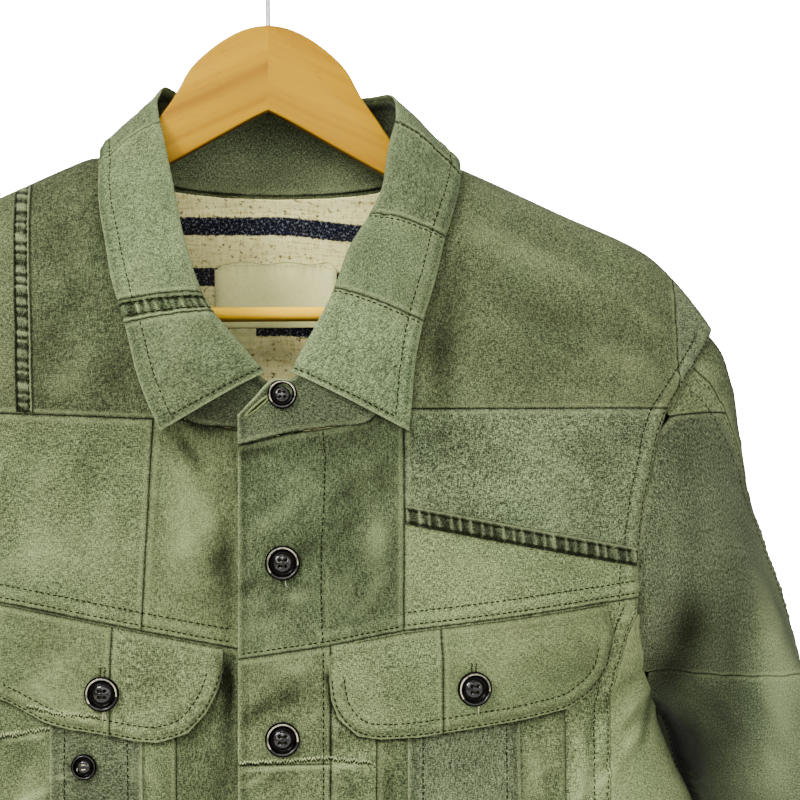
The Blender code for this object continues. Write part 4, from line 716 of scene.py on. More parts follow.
def rims(base, kinds):
    """How far the rim rolls back, and how worn and how grimy it is. kinds: left, right, top and foot."""
    across, wide = arc(base, 1)
    down, tall = arc(base, 0)
    drop, worn, grime_and_shade = (np.zeros(base.shape[:2]) for _ in range(3))
    for kind, distance in zip(kinds, (across, wide - across, down, tall - down)):
        if kind is None:
            continue
        fall, reach, bands = kind
        drop = np.maximum(drop, fall * np.clip(1 - distance / reach, 0, 1) ** 2)
        for place, width, strength in bands:
            band = abs(strength) * bell(distance - place, width)
            if strength > 0:
                worn = np.maximum(worn, band)
            else:
                grime_and_shade = np.maximum(grime_and_shade, band)
    return drop, worn, grime_and_shade


def grain_of(base, across, down, seed):
    """Places in a patch's own cloth, measured from its middle and cut level with the world."""
    row, column = base.shape[0] // 2, base.shape[1] // 2
    x = across - across[:, column, None] + base[:, column, None, 0]
    z = base[None, row, :, 2] - down + down[None, row]
    return np.stack([x, z, np.full(across.shape, seed)], axis=-1)


def rooted(mesh, finish):
    """A smooth object of a mesh, in the scene and on the part's only body."""
    mesh.validate()
    mesh.shade_smooth()
    mesh.materials.append(finish)
    made = bpy.data.objects.new(mesh.name, mesh)
    bpy.context.scene.collection.objects.link(made)
    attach(made, "root")
    return made


def mesh_object(name, vertices, faces, finish):
    """An object from an array of points and blocks of faces, each with its own number of corners."""
    mesh = bpy.data.meshes.new(name)
    corners = np.concatenate([block.ravel() for block in faces])
    sizes = np.concatenate([np.full(len(block), block.shape[1]) for block in faces])
    mesh.vertices.add(len(vertices))
    mesh.vertices.foreach_set("co", np.asarray(vertices, np.float32).ravel())
    mesh.loops.add(len(corners))
    mesh.loops.foreach_set("vertex_index", corners.astype(np.int32))
    mesh.polygons.add(len(sizes))
    mesh.polygons.foreach_set("loop_start", (np.cumsum(sizes) - sizes).astype(np.int32))
    mesh.update(calc_edges=True)
    return rooted(mesh, finish)


def attribute(made, name, values):
    values = np.asarray(values, np.float32)
    made.data.attributes.new(name, "FLOAT_VECTOR", "POINT").data.foreach_set("vector", values.ravel())


def places_of(made):
    return np.array([vertex.co for vertex in made.data.vertices])


def grid_faces(rows, columns):
    i, j = np.meshgrid(np.arange(rows - 1), np.arange(columns - 1), indexing="ij")
    a = (i * columns + j).ravel()
    return np.stack([a, a + columns, a + columns + 1, a + 1], axis=1)


def lowest_near(values, reach):
    """The least value within so many rows and columns of each place; the border keeps its own."""
    low = values
    for axis in (0, 1):
        pad = [(0, 0), (0, 0)]
        pad[axis] = (reach, reach)
        wide = np.pad(low, pad, mode="edge")
        low = np.lib.stride_tricks.sliding_window_view(wide, 2 * reach + 1, axis=axis).min(axis=-1)
    border = np.ones(values.shape, bool)
    border[1:-1, 1:-1] = False
    return np.where(border, values, low)


def thinned(count, step):
    """Every so many places of a row and its last one, and which of them is the nearest to each place."""
    kept = np.unique([*range(0, count, step), count - 1])
    return kept, np.abs(kept - np.arange(count)[:, None]).argmin(axis=1)


def sheet_faces(rows, columns, step):
    """Faces of both sides and of the rim of a closed sheet, and the rows and columns its inner side keeps."""
    count = rows * columns
    (kept_rows, near_row), (kept_columns, near_column) = thinned(rows, step), thinned(columns, step)
    ring = np.concatenate([
        np.arange(columns), np.arange(1, rows) * columns + columns - 1,
        (rows - 1) * columns + np.arange(columns - 2, -1, -1), np.arange(rows - 2, 0, -1) * columns,
    ])
    near = count + near_row[ring // columns] * len(kept_columns) + near_column[ring % columns]
    after, near_after = np.roll(ring, -1), np.roll(near, -1)
    inner = grid_faces(len(kept_rows), len(kept_columns))[:, ::-1] + count
    rim = np.concatenate([
        np.stack([ring, after, near_after], 1), np.stack([ring, near_after, near], 1)[near != near_after],
    ])
    return [grid_faces(rows, columns), inner, rim], kept_rows, kept_columns


def shell(name, slot, base, normal, height, shade, kinds, tint=0.0, wall=WALL, held="hung", cut=None,
          hidden=HIDDEN_CELL):
    """A closed thin sheet over a grid of points that stands for the solid of its name.

    Its inner side keeps one row and column in two to four, or all if hidden is 0, and lies below every
    crease near them. The attribute tone holds wear and painted light, grime and painted shade, and tint, and
    cut the places in the cloth."""
    rows, columns = base.shape[:2]
    across, wide = arc(base, 1)
    down, tall = arc(base, 0)
    step = int(np.clip(round(hidden * columns / float(wide.max())), 2, 4)) if hidden else 1
    faces, kept_rows, kept_columns = sheet_faces(rows, columns, step)

    def both_sides(outside, inside):
        return np.concatenate([outside.reshape(-1, 3), inside[kept_rows][:, kept_columns].reshape(-1, 3)])

    drop, worn, grime_and_shade = rims(base, kinds)
    outer = base + normal * (height - drop)[..., None]
    low = lowest_near(height, step) if hidden else height
    inner = base + normal * (low - np.maximum(wall, drop + THINNEST))[..., None]
    i, j = rows // 2, columns // 2
    facing = np.cross(outer[i + 1, j] - outer[i, j], outer[i, j + 1] - outer[i, j])
    if np.dot(facing, normal[i, j]) < 0:
        faces = [block[:, ::-1] for block in faces]
    made = mesh_object(name, both_sides(outer, inner), faces, CLOTH[slot])
    # painted light and painted shade from shade join the rims' wear and grime here
    worn = np.clip(worn + np.maximum(shade, 0), 0, 1)
    grime_and_shade = np.clip(grime_and_shade + np.maximum(-shade, 0), 0, 1)
    tone = np.stack([worn, grime_and_shade, np.full(shade.shape, tint)], axis=-1)
    if cut is None:
        cut = grain_of(base, across, down, len(name) * 0.37)
    attribute(made, "tone", both_sides(tone, tone))
    attribute(made, "cut", both_sides(cut, cut))
    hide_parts(name)
    cells = np.cross(np.diff(base[:-1], axis=1), np.diff(base[:, :-1], axis=0))
    width, length = max(float(wide.max()), LEAST_FLAT_SIDE), max(float(tall.max()), LEAST_FLAT_SIDE)
    area = float(np.linalg.norm(cells, axis=-1).sum())
    area = min(max(area, LEAST_FLAT_SHARE * width * length), width * length)
    return made


def body_patch(name, slot, seams, kinds, pitch=SEEN_CELL, face=-1, lift=None, rounded=False, ridge=False,
               own=None, cut=None, **options):
    """A patch of the body between its left, right, top and foot seams; rounded ones go round the side."""
    left, right, top, foot = seams
    probe = np.linspace(0, 1, 25)

    def solve(u, v):
        u, v = u[None, :], v[:, None]
        z = np.full((v.shape[0], u.shape[1]), SOLVE_FROM_Z)
        for _ in range(SOLVE_ROUNDS):
            if rounded:
                low, high = turn_of(left(z), z), turn_of(right(z), z)
                turn = low + (high - low) * u
            else:
                turn = turn_of(left(z) + (right(z) - left(z)) * u, z)
            x = half_width(z) * np.sin(turn)
            z = 0.5 * z + 0.5 * (top(x) + (foot(x) - top(x)) * v)
        return turn, z

    rough = body_point(*solve(probe, probe), face)
    wide, tall = extents(rough)
    seen = max(float(rough[..., 2].max()) - SEEN_FOOT_Z, 0.02) if face < 0 else None
    u = spaced(wide, pitch)
    v = spaced(tall, pitch, seen, ridge=ridge)
    turn, z = solve(u, v)
    base, normal = body_point(turn, z, face), body_normal(turn, z, face)
    x = base[..., 0]
    height, shade = body_relief(base, face)
    if lift is not None:
        height = height + lift(x, z)
    if own is not None:
        more, tone = own(x, z)
        height, shade = height + more, shade + tone
    if cut is not None:
        cut = cut(x, z)
    return shell(name, slot, base + (CENTRE_X, 0, 0), normal, height, shade, kinds, cut=cut, **options)


# ---------------------------------------------------------------- materials
def srgb(red, green, blue):
    linear = [c / 12.92 if c <= 0.04045 else ((c + 0.055) / 1.055) ** 2.4 for c in (red, green, blue)]
    return (*linear, 1.0)


class Graph:
    """A material's nodes. Settings are put on the shader's own sockets."""

    def __init__(self, name, **settings):
        self.material = bpy.data.materials.new(name)
        self.material.use_nodes = True
        self.tree = self.material.node_tree
        self.shader = self.tree.nodes["Principled BSDF"]
        for key, value in settings.items():
            self.shader.inputs[key.replace("_", " ")].default_value = value

    def add(self, kind, inputs, output=0, **settings):
        made = self.tree.nodes.new("ShaderNode" + kind)
        for key, value in settings.items():
            setattr(made, key, value)
        for key, value in inputs.items():
            self.put(made.inputs[key], value)
        return made.outputs[output]

    def put(self, socket, value):
        if isinstance(value, bpy.types.NodeSocket):
            self.tree.links.new(value, socket)
        else:
            socket.default_value = value

    def attribute(self, name):
        return self.add("Attribute", {}, output="Vector", attribute_name=name)

    def parts(self, vector):
        made = self.tree.nodes.new("ShaderNodeSeparateXYZ")
        self.put(made.inputs[0], vector)
        return made.outputs

    def math(self, operation, a, b=0.0, c=0.0, clamp=False):
        return self.add("Math", {0: a, 1: b, 2: c}, operation=operation, use_clamp=clamp)

    def noise(self, vector, scale, detail=2.0, roughness=0.5, stretch=(1.0, 1.0, 1.0)):
        place = self.add("VectorMath", {0: vector, 1: stretch}, operation="MULTIPLY")
        inputs = {"Vector": place, "Scale": scale, "Detail": detail, "Roughness": roughness}
        return self.add("TexNoise", inputs)

    def span(self, value, low, high, to_low=0.0, to_high=1.0):
        inputs = {"Value": value, "From Min": low, "From Max": high, "To Min": to_low, "To Max": to_high}
        return self.add("MapRange", inputs, interpolation_type="SMOOTHSTEP")

    def ramp(self, value, stops):
        made = self.tree.nodes.new("ShaderNodeValToRGB")
        self.put(made.inputs[0], value)
        elements = made.color_ramp.elements
        while len(elements) < len(stops):
            elements.new(0.5)
        for element, (place, colour) in zip(elements, stops):
            element.position = place
            element.color = colour
        return made.outputs[0]

    def mix(self, share, a, b, blend="MIX"):
        return self.add("Mix", {0: share, 6: a, 7: b}, output=2, data_type="RGBA", blend_type=blend)

    def finish(self, colour, height, distance, strength=1.0, roughness=None):
        self.put(self.shader.inputs["Base Color"], colour)
        if roughness is not None:
            self.put(self.shader.inputs["Roughness"], roughness)
        inputs = {"Height": height, "Distance": distance, "Strength": strength}
        self.put(self.shader.inputs["Normal"], self.add("Bump", inputs))
        return self.material


def shaded(colour, factor, towards=0.0):
    """A colour made darker or lighter, and moved towards a pale straw."""
    straw = (0.90, 0.94, 0.66)
    return srgb(*(min(c * factor * (1 - towards) + t * towards, 1.0) for c, t in zip(colour, straw)))


def canvas(name, colour, coarse=1.0, contrast=1.0):
    """Washed canvas: crossed threads, salt-and-pepper fading, cloudy dye, pale wear and dark grime, which
    also carry painted light and painted shade.
    """
    g = Graph(name, Roughness=0.98, Sheen_Weight=0.03, Sheen_Roughness=0.5, Specular_IOR_Level=0.04)
    cut, tone = g.attribute("cut"), g.parts(g.attribute("tone"))
    warp = g.noise(cut, 1.0, 2.0, 0.65, (2300 / coarse, 560 / coarse, 9.0))
    weft = g.noise(cut, 1.0, 2.0, 0.65, (590 / coarse, 2200 / coarse, 7.0))
    fleck = g.noise(cut, 1500 / coarse, 2.0, 0.65)
    cross = g.math("ADD", g.math("MULTIPLY", warp, 0.38), g.math("MULTIPLY", weft, 0.38))
    grain = g.math("ADD", cross, g.math("MULTIPLY", fleck, 0.24))
    tones = ((0.41, shaded(colour, 0.97 - 0.47 * contrast)), (0.495, shaded(colour, 0.97)),
             (0.59, shaded(colour, 0.97 + 0.45 * contrast, 0.06 * contrast)))
    dyed = g.ramp(grain, tones)
    place = g.add("TexCoord", {}, output="Object")
    cloud = g.math("SUBTRACT", g.noise(place, 26, 4.0, 0.62), 0.5)
    speck = g.math("SUBTRACT", g.noise(place, 150, 3.0, 0.6), 0.5)
    value = g.math("ADD", g.math("MULTIPLY", cloud, 0.95), g.math("MULTIPLY", speck, 0.32))
    value = g.math("ADD", g.math("ADD", value, 1.0), tone[2])
    drift = g.math("SUBTRACT", g.noise(place, 17, 2.0, 0.5), 0.5)
    hue = g.math("ADD", g.math("MULTIPLY", drift, 0.040), 0.5)
    dyed = g.add("HueSaturation", {"Hue": hue, "Value": value, "Color": dyed})
    # wear and painted light: the tone's first channel mixes towards pale straw
    wear_and_light = g.math("MULTIPLY", tone[0], g.span(fleck, 0.38, 0.60, 0.35, 1.40), clamp=True)
    dyed = g.mix(wear_and_light, dyed, shaded(colour, 1.30, 0.34))
    # grime and painted shade: the tone's second channel mixes towards dark olive
    grime_and_shade = g.math("MULTIPLY", tone[1], g.span(warp, 0.3, 0.7, 1.15, 0.85), clamp=True)
    dyed = g.mix(grime_and_shade, dyed, srgb(0.060, 0.070, 0.028))
    return g.finish(dyed, grain, 0.0011, 0.75)


STRIPE_TOP_Z, STRIPE_PITCH, STRIPE_SHARE, TWILL = -0.1738, 0.0280, (0.350, 0.380), (6200, 2300)
STRIPED_FROM, STRIPED_TO = (-0.1746, -0.1734, 1.0, 0.0), (-0.2460, -0.2440, 0.0, 1.0)


def striped_lining(name):
    """Unbleached slubby cotton with woven navy stripes."""
    g = Graph(name, Roughness=0.95, Sheen_Weight=0.03, Specular_IOR_Level=0.05)
    cut, tone = g.attribute("cut"), g.parts(g.attribute("tone"))
    parts = g.parts(cut)
    warp = g.noise(cut, 1.0, 2.0, 0.6, (900, 120, 1.0))
    weft = g.noise(cut, 1.0, 3.0, 0.7, (70, 900, 1.0))
    fleck = g.noise(cut, 330, 3.0, 0.7)
    grain = g.math("ADD", g.math("MULTIPLY", warp, 0.4), g.math("MULTIPLY", weft, 0.6))
    cream = g.ramp(grain, ((0.36, srgb(0.74, 0.66, 0.38)), (0.46, srgb(0.93, 0.90, 0.60)),
                           (0.62, srgb(1.00, 0.99, 0.71))))
    cream = g.mix(g.span(fleck, 0.57, 0.66, 0.0, 0.90), cream, srgb(0.36, 0.27, 0.16))
    wander = g.math("MULTIPLY", g.math("SUBTRACT", g.noise(cut, 420, 2.0), 0.5), 0.0022)
    z = g.math("ADD", parts[1], wander)
    phase = g.math("FRACT", g.math("DIVIDE", g.math("SUBTRACT", STRIPE_TOP_Z, z), STRIPE_PITCH))
    stripe = g.math("SUBTRACT", 1.0, g.span(phase, *STRIPE_SHARE))
    for edges in (STRIPED_FROM, STRIPED_TO):
        stripe = g.math("MULTIPLY", stripe, g.span(z, *edges))
    slant = g.math("ADD", g.math("MULTIPLY", parts[0], TWILL[0]), g.math("MULTIPLY", parts[1], TWILL[1]))
    wale = g.math("MULTIPLY", g.math("SINE", slant), 0.050)
    twill = g.math("ADD", g.noise(cut, 1.0, 2.0, 0.6, (700, 700, 1.0)), wale)
    navy = g.ramp(twill, ((0.40, srgb(0.045, 0.05, 0.085)), (0.56, srgb(0.12, 0.13, 0.18)),
                          (0.68, srgb(0.46, 0.47, 0.48))))
    colour = g.mix(stripe, cream, navy)
    # the tone's second channel carries painted shadow under the bar and low in the neck opening, with random
    # darker flecks
    colour = g.mix(g.math("MULTIPLY", tone[1], 0.8, clamp=True), colour, srgb(0.30, 0.27, 0.18))
    return g.finish(colour, grain, 0.0010, 0.7)


def label_cloth(name):
    g = Graph(name, Roughness=0.90, Sheen_Weight=0.03, Specular_IOR_Level=0.10)
    cut, tone = g.attribute("cut"), g.parts(g.attribute("tone"))
    warp = g.noise(cut, 1.0, 1.0, 0.5, (2200, 260, 1.0))
    weft = g.noise(cut, 1.0, 1.0, 0.5, (260, 2200, 1.0))
    grain = g.math("ADD", g.math("MULTIPLY", warp, 0.5), g.math("MULTIPLY", weft, 0.5))
    colour = g.ramp(grain, ((0.38, srgb(0.95, 0.95, 0.62)), (0.60, srgb(1.00, 1.00, 0.70))))
    # the tone's second channel carries painted shade at the label's sides, in its ripples and under the tab's
    # curled foot, and the dark line of its sewn rim
    colour = g.mix(g.math("MULTIPLY", tone[1], 0.7, clamp=True), colour, srgb(0.42, 0.40, 0.27))
    return g.finish(colour, grain, 0.0004, 0.6)


def thread(name, dark, light):
    g = Graph(name, Roughness=0.95, Specular_IOR_Level=0.04)
    place = g.add("TexCoord", {}, output="Object")
    twist = g.noise(place, 1400, 2.0)
    return g.finish(g.ramp(twist, ((0.35, dark), (0.65, light))), twist, 0.0002)


def wood(name, dark, middle, light):
    """Honey-coloured lacquered beech, its grain running along the arms, its downward faces painted darker as
    shade.
    """
    g = Graph(name, Roughness=0.36, Coat_Weight=0.03, Coat_Roughness=0.20, Specular_IOR_Level=0.05)
    cut = g.attribute("cut")
    rings = g.noise(cut, 1.0, 2.0, 0.5, (5.0, 110.0, 40.0))
    pores = g.noise(cut, 1.0, 2.0, 0.6, (110.0, 1500.0, 700.0))
    cloud = g.noise(cut, 26.0, 3.0, 0.5)
    base = g.ramp(rings, ((0.30, dark), (0.48, middle), (0.68, light)))
    base = g.mix(g.span(pores, 0.60, 0.72, 0.0, 0.45), base, srgb(0.44, 0.26, 0.0))
    base = g.mix(g.span(cloud, 0.45, 0.75, 0.0, 0.30), base, middle)
    # painted shade: faces that turn downward are mixed towards dark brown
    facing = g.parts(g.add("NewGeometry", {}, output="Normal"))[2]
    base = g.mix(g.span(facing, -0.25, -0.80, 0.0, 0.80), base, srgb(0.20, 0.11, 0.02))
    rough = g.span(rings, 0.3, 0.7, 0.30, 0.42)
    return g.finish(base, pores, 0.0002, 0.5, rough)


def plain(name, dark, light, scale, distance, **settings):
    """Horn or steel: two close tones and a faint grain."""
    g = Graph(name, **settings)
    place = g.add("TexCoord", {}, output="Object")
    grain = g.noise(place, scale, 3.0, 0.6)
    return g.finish(g.ramp(grain, ((0.35, dark), (0.65, light))), grain, distance)


CLOTH = {
    "canvas_olive": canvas("olive canvas", (0.277, 0.303, 0.203), 1.0, 1.10),
    "canvas_sage": canvas("sage canvas", (0.311, 0.346, 0.230), 1.0, 1.15),
    "canvas_leaf": canvas("leaf canvas", (0.309, 0.352, 0.240), 1.0, 1.05),
    "canvas_moss": canvas("moss canvas", (0.262, 0.290, 0.207), 1.0, 1.20),
    "canvas_grey_green": canvas("grey-green canvas", (0.292, 0.326, 0.232), 0.9, 1.50),
    "canvas_straw_green": canvas("straw-green canvas", (0.326, 0.360, 0.236), 1.0, 0.80),
    "striped_lining": striped_lining("striped lining"),
    "label_cloth": label_cloth("label cloth"),
}
DARK_THREAD = thread("dark thread", srgb(0.045, 0.050, 0.016), srgb(0.110, 0.118, 0.050))
PALE_THREAD = thread("pale thread", srgb(0.70, 0.69, 0.55), srgb(0.86, 0.85, 0.72))
FRAY_THREAD = thread("frayed thread", srgb(0.46, 0.50, 0.33), srgb(0.68, 0.71, 0.52))
LIP_THREAD = thread("buttonhole thread", srgb(0.30, 0.34, 0.21), srgb(0.46, 0.50, 0.33))
WOOD = wood("lacquered beech", srgb(0.54, 0.370, 0.0), srgb(0.625, 0.452, 0.0), srgb(0.68, 0.51, 0.0))
# the bar's wood is a lighter copy of the arms' beech: painted light on the bar
LIT_BAR_WOOD = wood("beech of the bar, painted lighter as lit", srgb(0.88, 0.66, 0.04), srgb(1.0, 0.79, 0.05), srgb(1.0, 0.86, 0.08))
STEEL = plain("steel wire", srgb(0.55, 0.55, 0.57), srgb(0.78, 0.78, 0.80), 240, 0.0001, Metallic=1.0,
              Roughness=0.28)
HORN = plain("black horn", srgb(0.010, 0.009, 0.006), srgb(0.026, 0.023, 0.016), 260, 0.00008, Roughness=0.22,
             Specular_IOR_Level=0.06)
# painted highlight: a pale glossy finish for the rim's upper side, standing in for light caught there
RIM_HIGHLIGHT = plain("painted highlight on the button rim", srgb(0.30, 0.28, 0.21), srgb(0.72, 0.69, 0.58), 190, 0.00005,
             Roughness=0.20, Specular_IOR_Level=0.5)
DOME = plain("smoky horn", srgb(0.030, 0.023, 0.015), srgb(0.115, 0.095, 0.068), 420, 0.0001, Roughness=0.20,
             Specular_IOR_Level=0.45)


# ---------------------------------------------------------------- fronts, pockets and flaps
PAD_PITCH, PAD_LEAN = 0.0055, 0.0012


def ladder(run, share, bright):
    """A felled strip: narrow pale pads in dark gathers, and a bright worn ridge at this share across."""
    phase = (run + PAD_LEAN * (share - 0.5)) / PAD_PITCH
    phase = phase + 0.16 * np.sin(run * 410) + 0.09 * np.sin(run * 1130 + 1)
    pad = bell(phase - np.round(phase), 0.24) * (0.86 + 0.14 * np.sin(run * 260 + 2))
    middle = ease(share / 0.30) * ease((1 - share) / 0.30)
    ridge = bell(share - bright, 0.075)
    rows = bell(share - 0.13, 0.08) + bell(share - 0.80, 0.08)
    height = 0.00070 * pad * middle + 0.00060 * ridge - 0.00040 * rows
    shade = middle * (1.35 * pad - 0.80) + 1.1 * ridge - 1.0 * rows * (1 - 0.3 * pad)
    return height, shade


def left_fell_look(x, z):
    return ladder(x, (z - fell_left(x) + FELL_WIDTH / 2) / (FELL_WIDTH + FELL_RIDGE), 0.94)


def right_fell_look(x, z):
    return ladder(z, (x - fell_right(z)) / FELL_WIDTH + 0.5, 0.93)


def flap_lift(side, yoke):
    """From the yoke seam the flap climbs over the pocket; its edge turns down, behind a padded hem."""
    outline = FLAPS[side]

    def lift(x, z):
        climb = ease((yoke(x) - z) / 0.020)
        edge = distance_to(outline, x, z)
        roll = 0.0013 * (1 - ease(edge / 0.006))
        padding = 0.0006 * np.sin(np.pi * np.clip(edge / 0.0072, 0, 1))
        groove = 0.0005 * bell(edge - 0.0076, 0.0012)
        return 0.0010 + (3 * STACK - 0.0010) * climb + (padding - groove - roll) * climb
    return lift


def raised(height):
    return lambda x, z: np.full(np.shape(x), height)


def pocket_lift(side):
    left, right = POCKETS[side][:2]

    def lift(x, z):
        edge = np.minimum(np.minimum(x - left, right - x), z - POCKET_FOOT_Z)
        return STACK - 0.0008 * (1 - ease(edge / 0.004))
    return lift


POCKET_TINTS = {"left": (-0.06, 0.24), "right": (-0.08, 0.02)}      # of the bag and its pleat
FLAPS_IN_ORDER = (
    # side, part, yoke seam, tint
    ("left", "inner", yoke_left, 0.22), ("left", "outer", yoke_left, 0.24),
    ("right", "outer", yoke_right, 0.0), ("right", "inner", yoke_right, 0.07),
)


def make_fronts():
    """Both fronts, each patch between its left, right, top and foot seams; then the pockets and the flaps."""
    sage, straw, olive = "canvas_sage", "canvas_straw_green", "canvas_olive"
    hem, neck_right = fixed(HEM_Z), mirrored(front_neck_x)
    chest = fixed(CHEST_LEFT_Z)
    tip = line(((CHEST_LEFT_Z, float(front_armhole(CHEST_LEFT_Z))), (TIP_FOOT_Z, TIP_X)))
    centre, placket_edge = fixed(CENTRE_LEFT_X), fixed(PLACKET_LEFT)
    body_patch("front_left_shoulder", olive, (front_neck_x, tip, shoulder_z, chest), (SEAM,) * 4, ridge=True)
    edges = (fixed(TIP_X), front_armhole, shoulder_z, fixed(TIP_FOOT_Z))
    body_patch("front_left_shoulder_tip", "canvas_moss", edges, (SEAM,) * 4, ridge=True, tint=0.48)
    edges = (centre, front_armhole, chest, fell_left)
    body_patch("front_left_chest", "canvas_grey_green", edges, (SEAM,) * 4, tint=0.10)
    body_patch("front_left_bust", sage, (centre, front_armhole, fell_left, yoke_left), (SEAM,) * 4, tint=0.54)
    half = FELL_WIDTH / 2
    strip = (centre, fixed(FELL_END_X),
             lambda x: fell_left(x) + half + FELL_RIDGE, lambda x: fell_left(x) - half)
    body_patch("front_left_fell", "canvas_moss", strip, (SEAM,) * 4, pitch=FELL_CELL, own=left_fell_look,
               lift=raised(FELL_LIFT), wall=FELL_WALL)
    head = lambda x: np.minimum(front_neck_z(x), CHEST_LEFT_Z)
    body_patch("front_left_centre", "canvas_leaf", (placket_edge, centre, head, yoke_left),
               (FREE, SEAM, SEAM, SEAM), lift=placket_lift, tint=-0.30)
    join = fixed(PLACKET_JOIN_Z)
    body_patch("front_left_placket_mid", sage, (placket_edge, fixed(PLACKET_RIGHT), yoke_left, join),
               (FREE, SEAM, SEAM, SEAM), lift=placket_lift, tint=-0.14)
    body_patch("front_left_placket_low", sage, (placket_edge, fixed(PLACKET_RIGHT), join, hem),
               (FREE, SEAM, SEAM, FREE), lift=placket_lift, tint=0.0)
    body_patch("front_left_lower", sage, (fixed(PLACKET_RIGHT), side_seam_x, yoke_left, hem),
               (SEAM, THIN, SEAM, FREE), lift=placket_lift, tint=0.48)
    side = (side_seam_x, side_edge, fixed(SIDE_HEAD_Z), hem)
    body_patch("front_left_side", straw, side, (THIN, SEAM, SEAM, FREE), rounded=True, tint=0.74)

    outer = mirrored(front_armhole)
    edges = (fell_right, neck_right, shoulder_z, chest_right)
    body_patch("front_right_shoulder_in", olive, edges, (SEAM,) * 4, ridge=True, tint=-0.28)
    edges = (outer, fell_right, shoulder_z, chest_right)
    body_patch("front_right_shoulder_out", olive, edges, (SEAM,) * 4, ridge=True)
    strip = (lambda z: fell_right(z) - half, lambda z: fell_right(z) + half,
             lambda x: shoulder_z(x) - 0.0030, lambda x: chest_right(x) + 0.0010)
    body_patch("front_right_fell", "canvas_moss", strip, (SEAM,) * 4, pitch=FELL_CELL, own=right_fell_look,
               lift=raised(FELL_LIFT), wall=FELL_WALL)
    body_patch("front_right_chest_out", sage, (outer, centre_right, chest_right, yoke_right), (SEAM,) * 4,
               tint=0.0)
    head = lambda x: np.minimum(front_neck_z(-x), chest_right(x))
    body_patch("front_right_chest_in", straw, (centre_right, fixed(UNDERLAP), head, yoke_right),
               (SEAM, FREE, SEAM, SEAM), tint=-0.04)
    side = mirrored(side_seam_x)
    body_patch("front_right_lower", sage, (side, fixed(UNDERLAP), yoke_right, hem), (SEAM, FREE, SEAM, FREE),
               tint=-0.30)
    body_patch("front_right_side", straw, (mirrored(side_edge), side, fixed(SIDE_HEAD_Z), hem),
               (SEAM, SEAM, SEAM, FREE), rounded=True)
    for side, (left, right, pleat_left, pleat_right) in POCKETS.items():
        bag_tint, pleat_tint = POCKET_TINTS[side]
        edges = (fixed(left), fixed(right), fixed(POCKET_HEAD_Z), fixed(POCKET_FOOT_Z))
        body_patch(f"pocket_{side}", sage, edges, (SEWN, SEWN, FREE, SEWN), lift=pocket_lift(side),
                   tint=bag_tint)
        head, foot = fixed(POCKET_HEAD_Z - 0.001), fixed(POCKET_FOOT_Z + 0.001)
        edges = (fixed(pleat_left), fixed(pleat_right), head, foot)
        body_patch(f"pocket_{side}_pleat", "canvas_moss", edges, (FREE, FREE, FREE, SEWN),
                   lift=raised(2 * STACK), tint=pleat_tint)
    for side, part, yoke, tint in FLAPS_IN_ORDER:
        outline, seam = FLAPS[side], FLAP_SEAMS[side]
        on_the_right = (side == "left") == (part == "inner")      # the half nearer the wearer's right
        first, last = (outline[0][0], seam) if on_the_right else (seam, outline[-1][0])
        kinds = (FREE, SEAM, SEAM, FREE) if on_the_right else (SEAM, FREE, SEAM, FREE)
        edges = (fixed(first), fixed(last), offset(yoke, -0.0010), line(outline))
        body_patch(f"flap_{side}_{part}", sage if part == "inner" else straw, edges, kinds,
                   lift=flap_lift(side, yoke), tint=tint)


# ---------------------------------------------------------------- back and lining
def lining_sway(x):
    """The stripes dip towards the wearer's left."""
    return -0.0037 * ease(x / 0.050)


def lining_look(x, z):
    """Soft shadowed places in the lining: under the bar, and low in the neck opening."""
    across, down = (x + CENTRE_X) * 1000, z * 1000
    dark = 0.55 * bell(across - 4, 22) * bell(down + 251, 7)
    dark += 0.30 * bell(across + 44, 8) * bell(down + 226, 12)
    return 0 * x, -dark - 0.10 * noise(np.stack([x, z, 0 * x], axis=-1), 0.012, 79)


def label_look(x, z):
    """The label is puckered along its sewn top, and a little shadowed at its sides."""
    left, right, head, _ = LABEL
    side = np.minimum(x - left, right - x)
    ripple = np.sin(x * 900 + 2 * np.sin(x * 300)) * bell(head - z - 0.003, 0.004)
    # the ripple is painted darker in its dips, as shade
    return 0.0003 * ripple, 0.10 * ripple - 0.22 * bell(side, 0.0022)


def tab_look(_, z):
    """The tab's foot curls out, into the shade."""
    head, foot = TAB[2:]
    return 0.0010 * ease((head - z) / (head - foot)), -0.45 * ease((head - 0.002 - z) / -0.004)


def lining_head(x):
    return back_neck_z(x) - 0.0010 - 0.0140 * ease((np.abs(x) - 0.060) / 0.020)


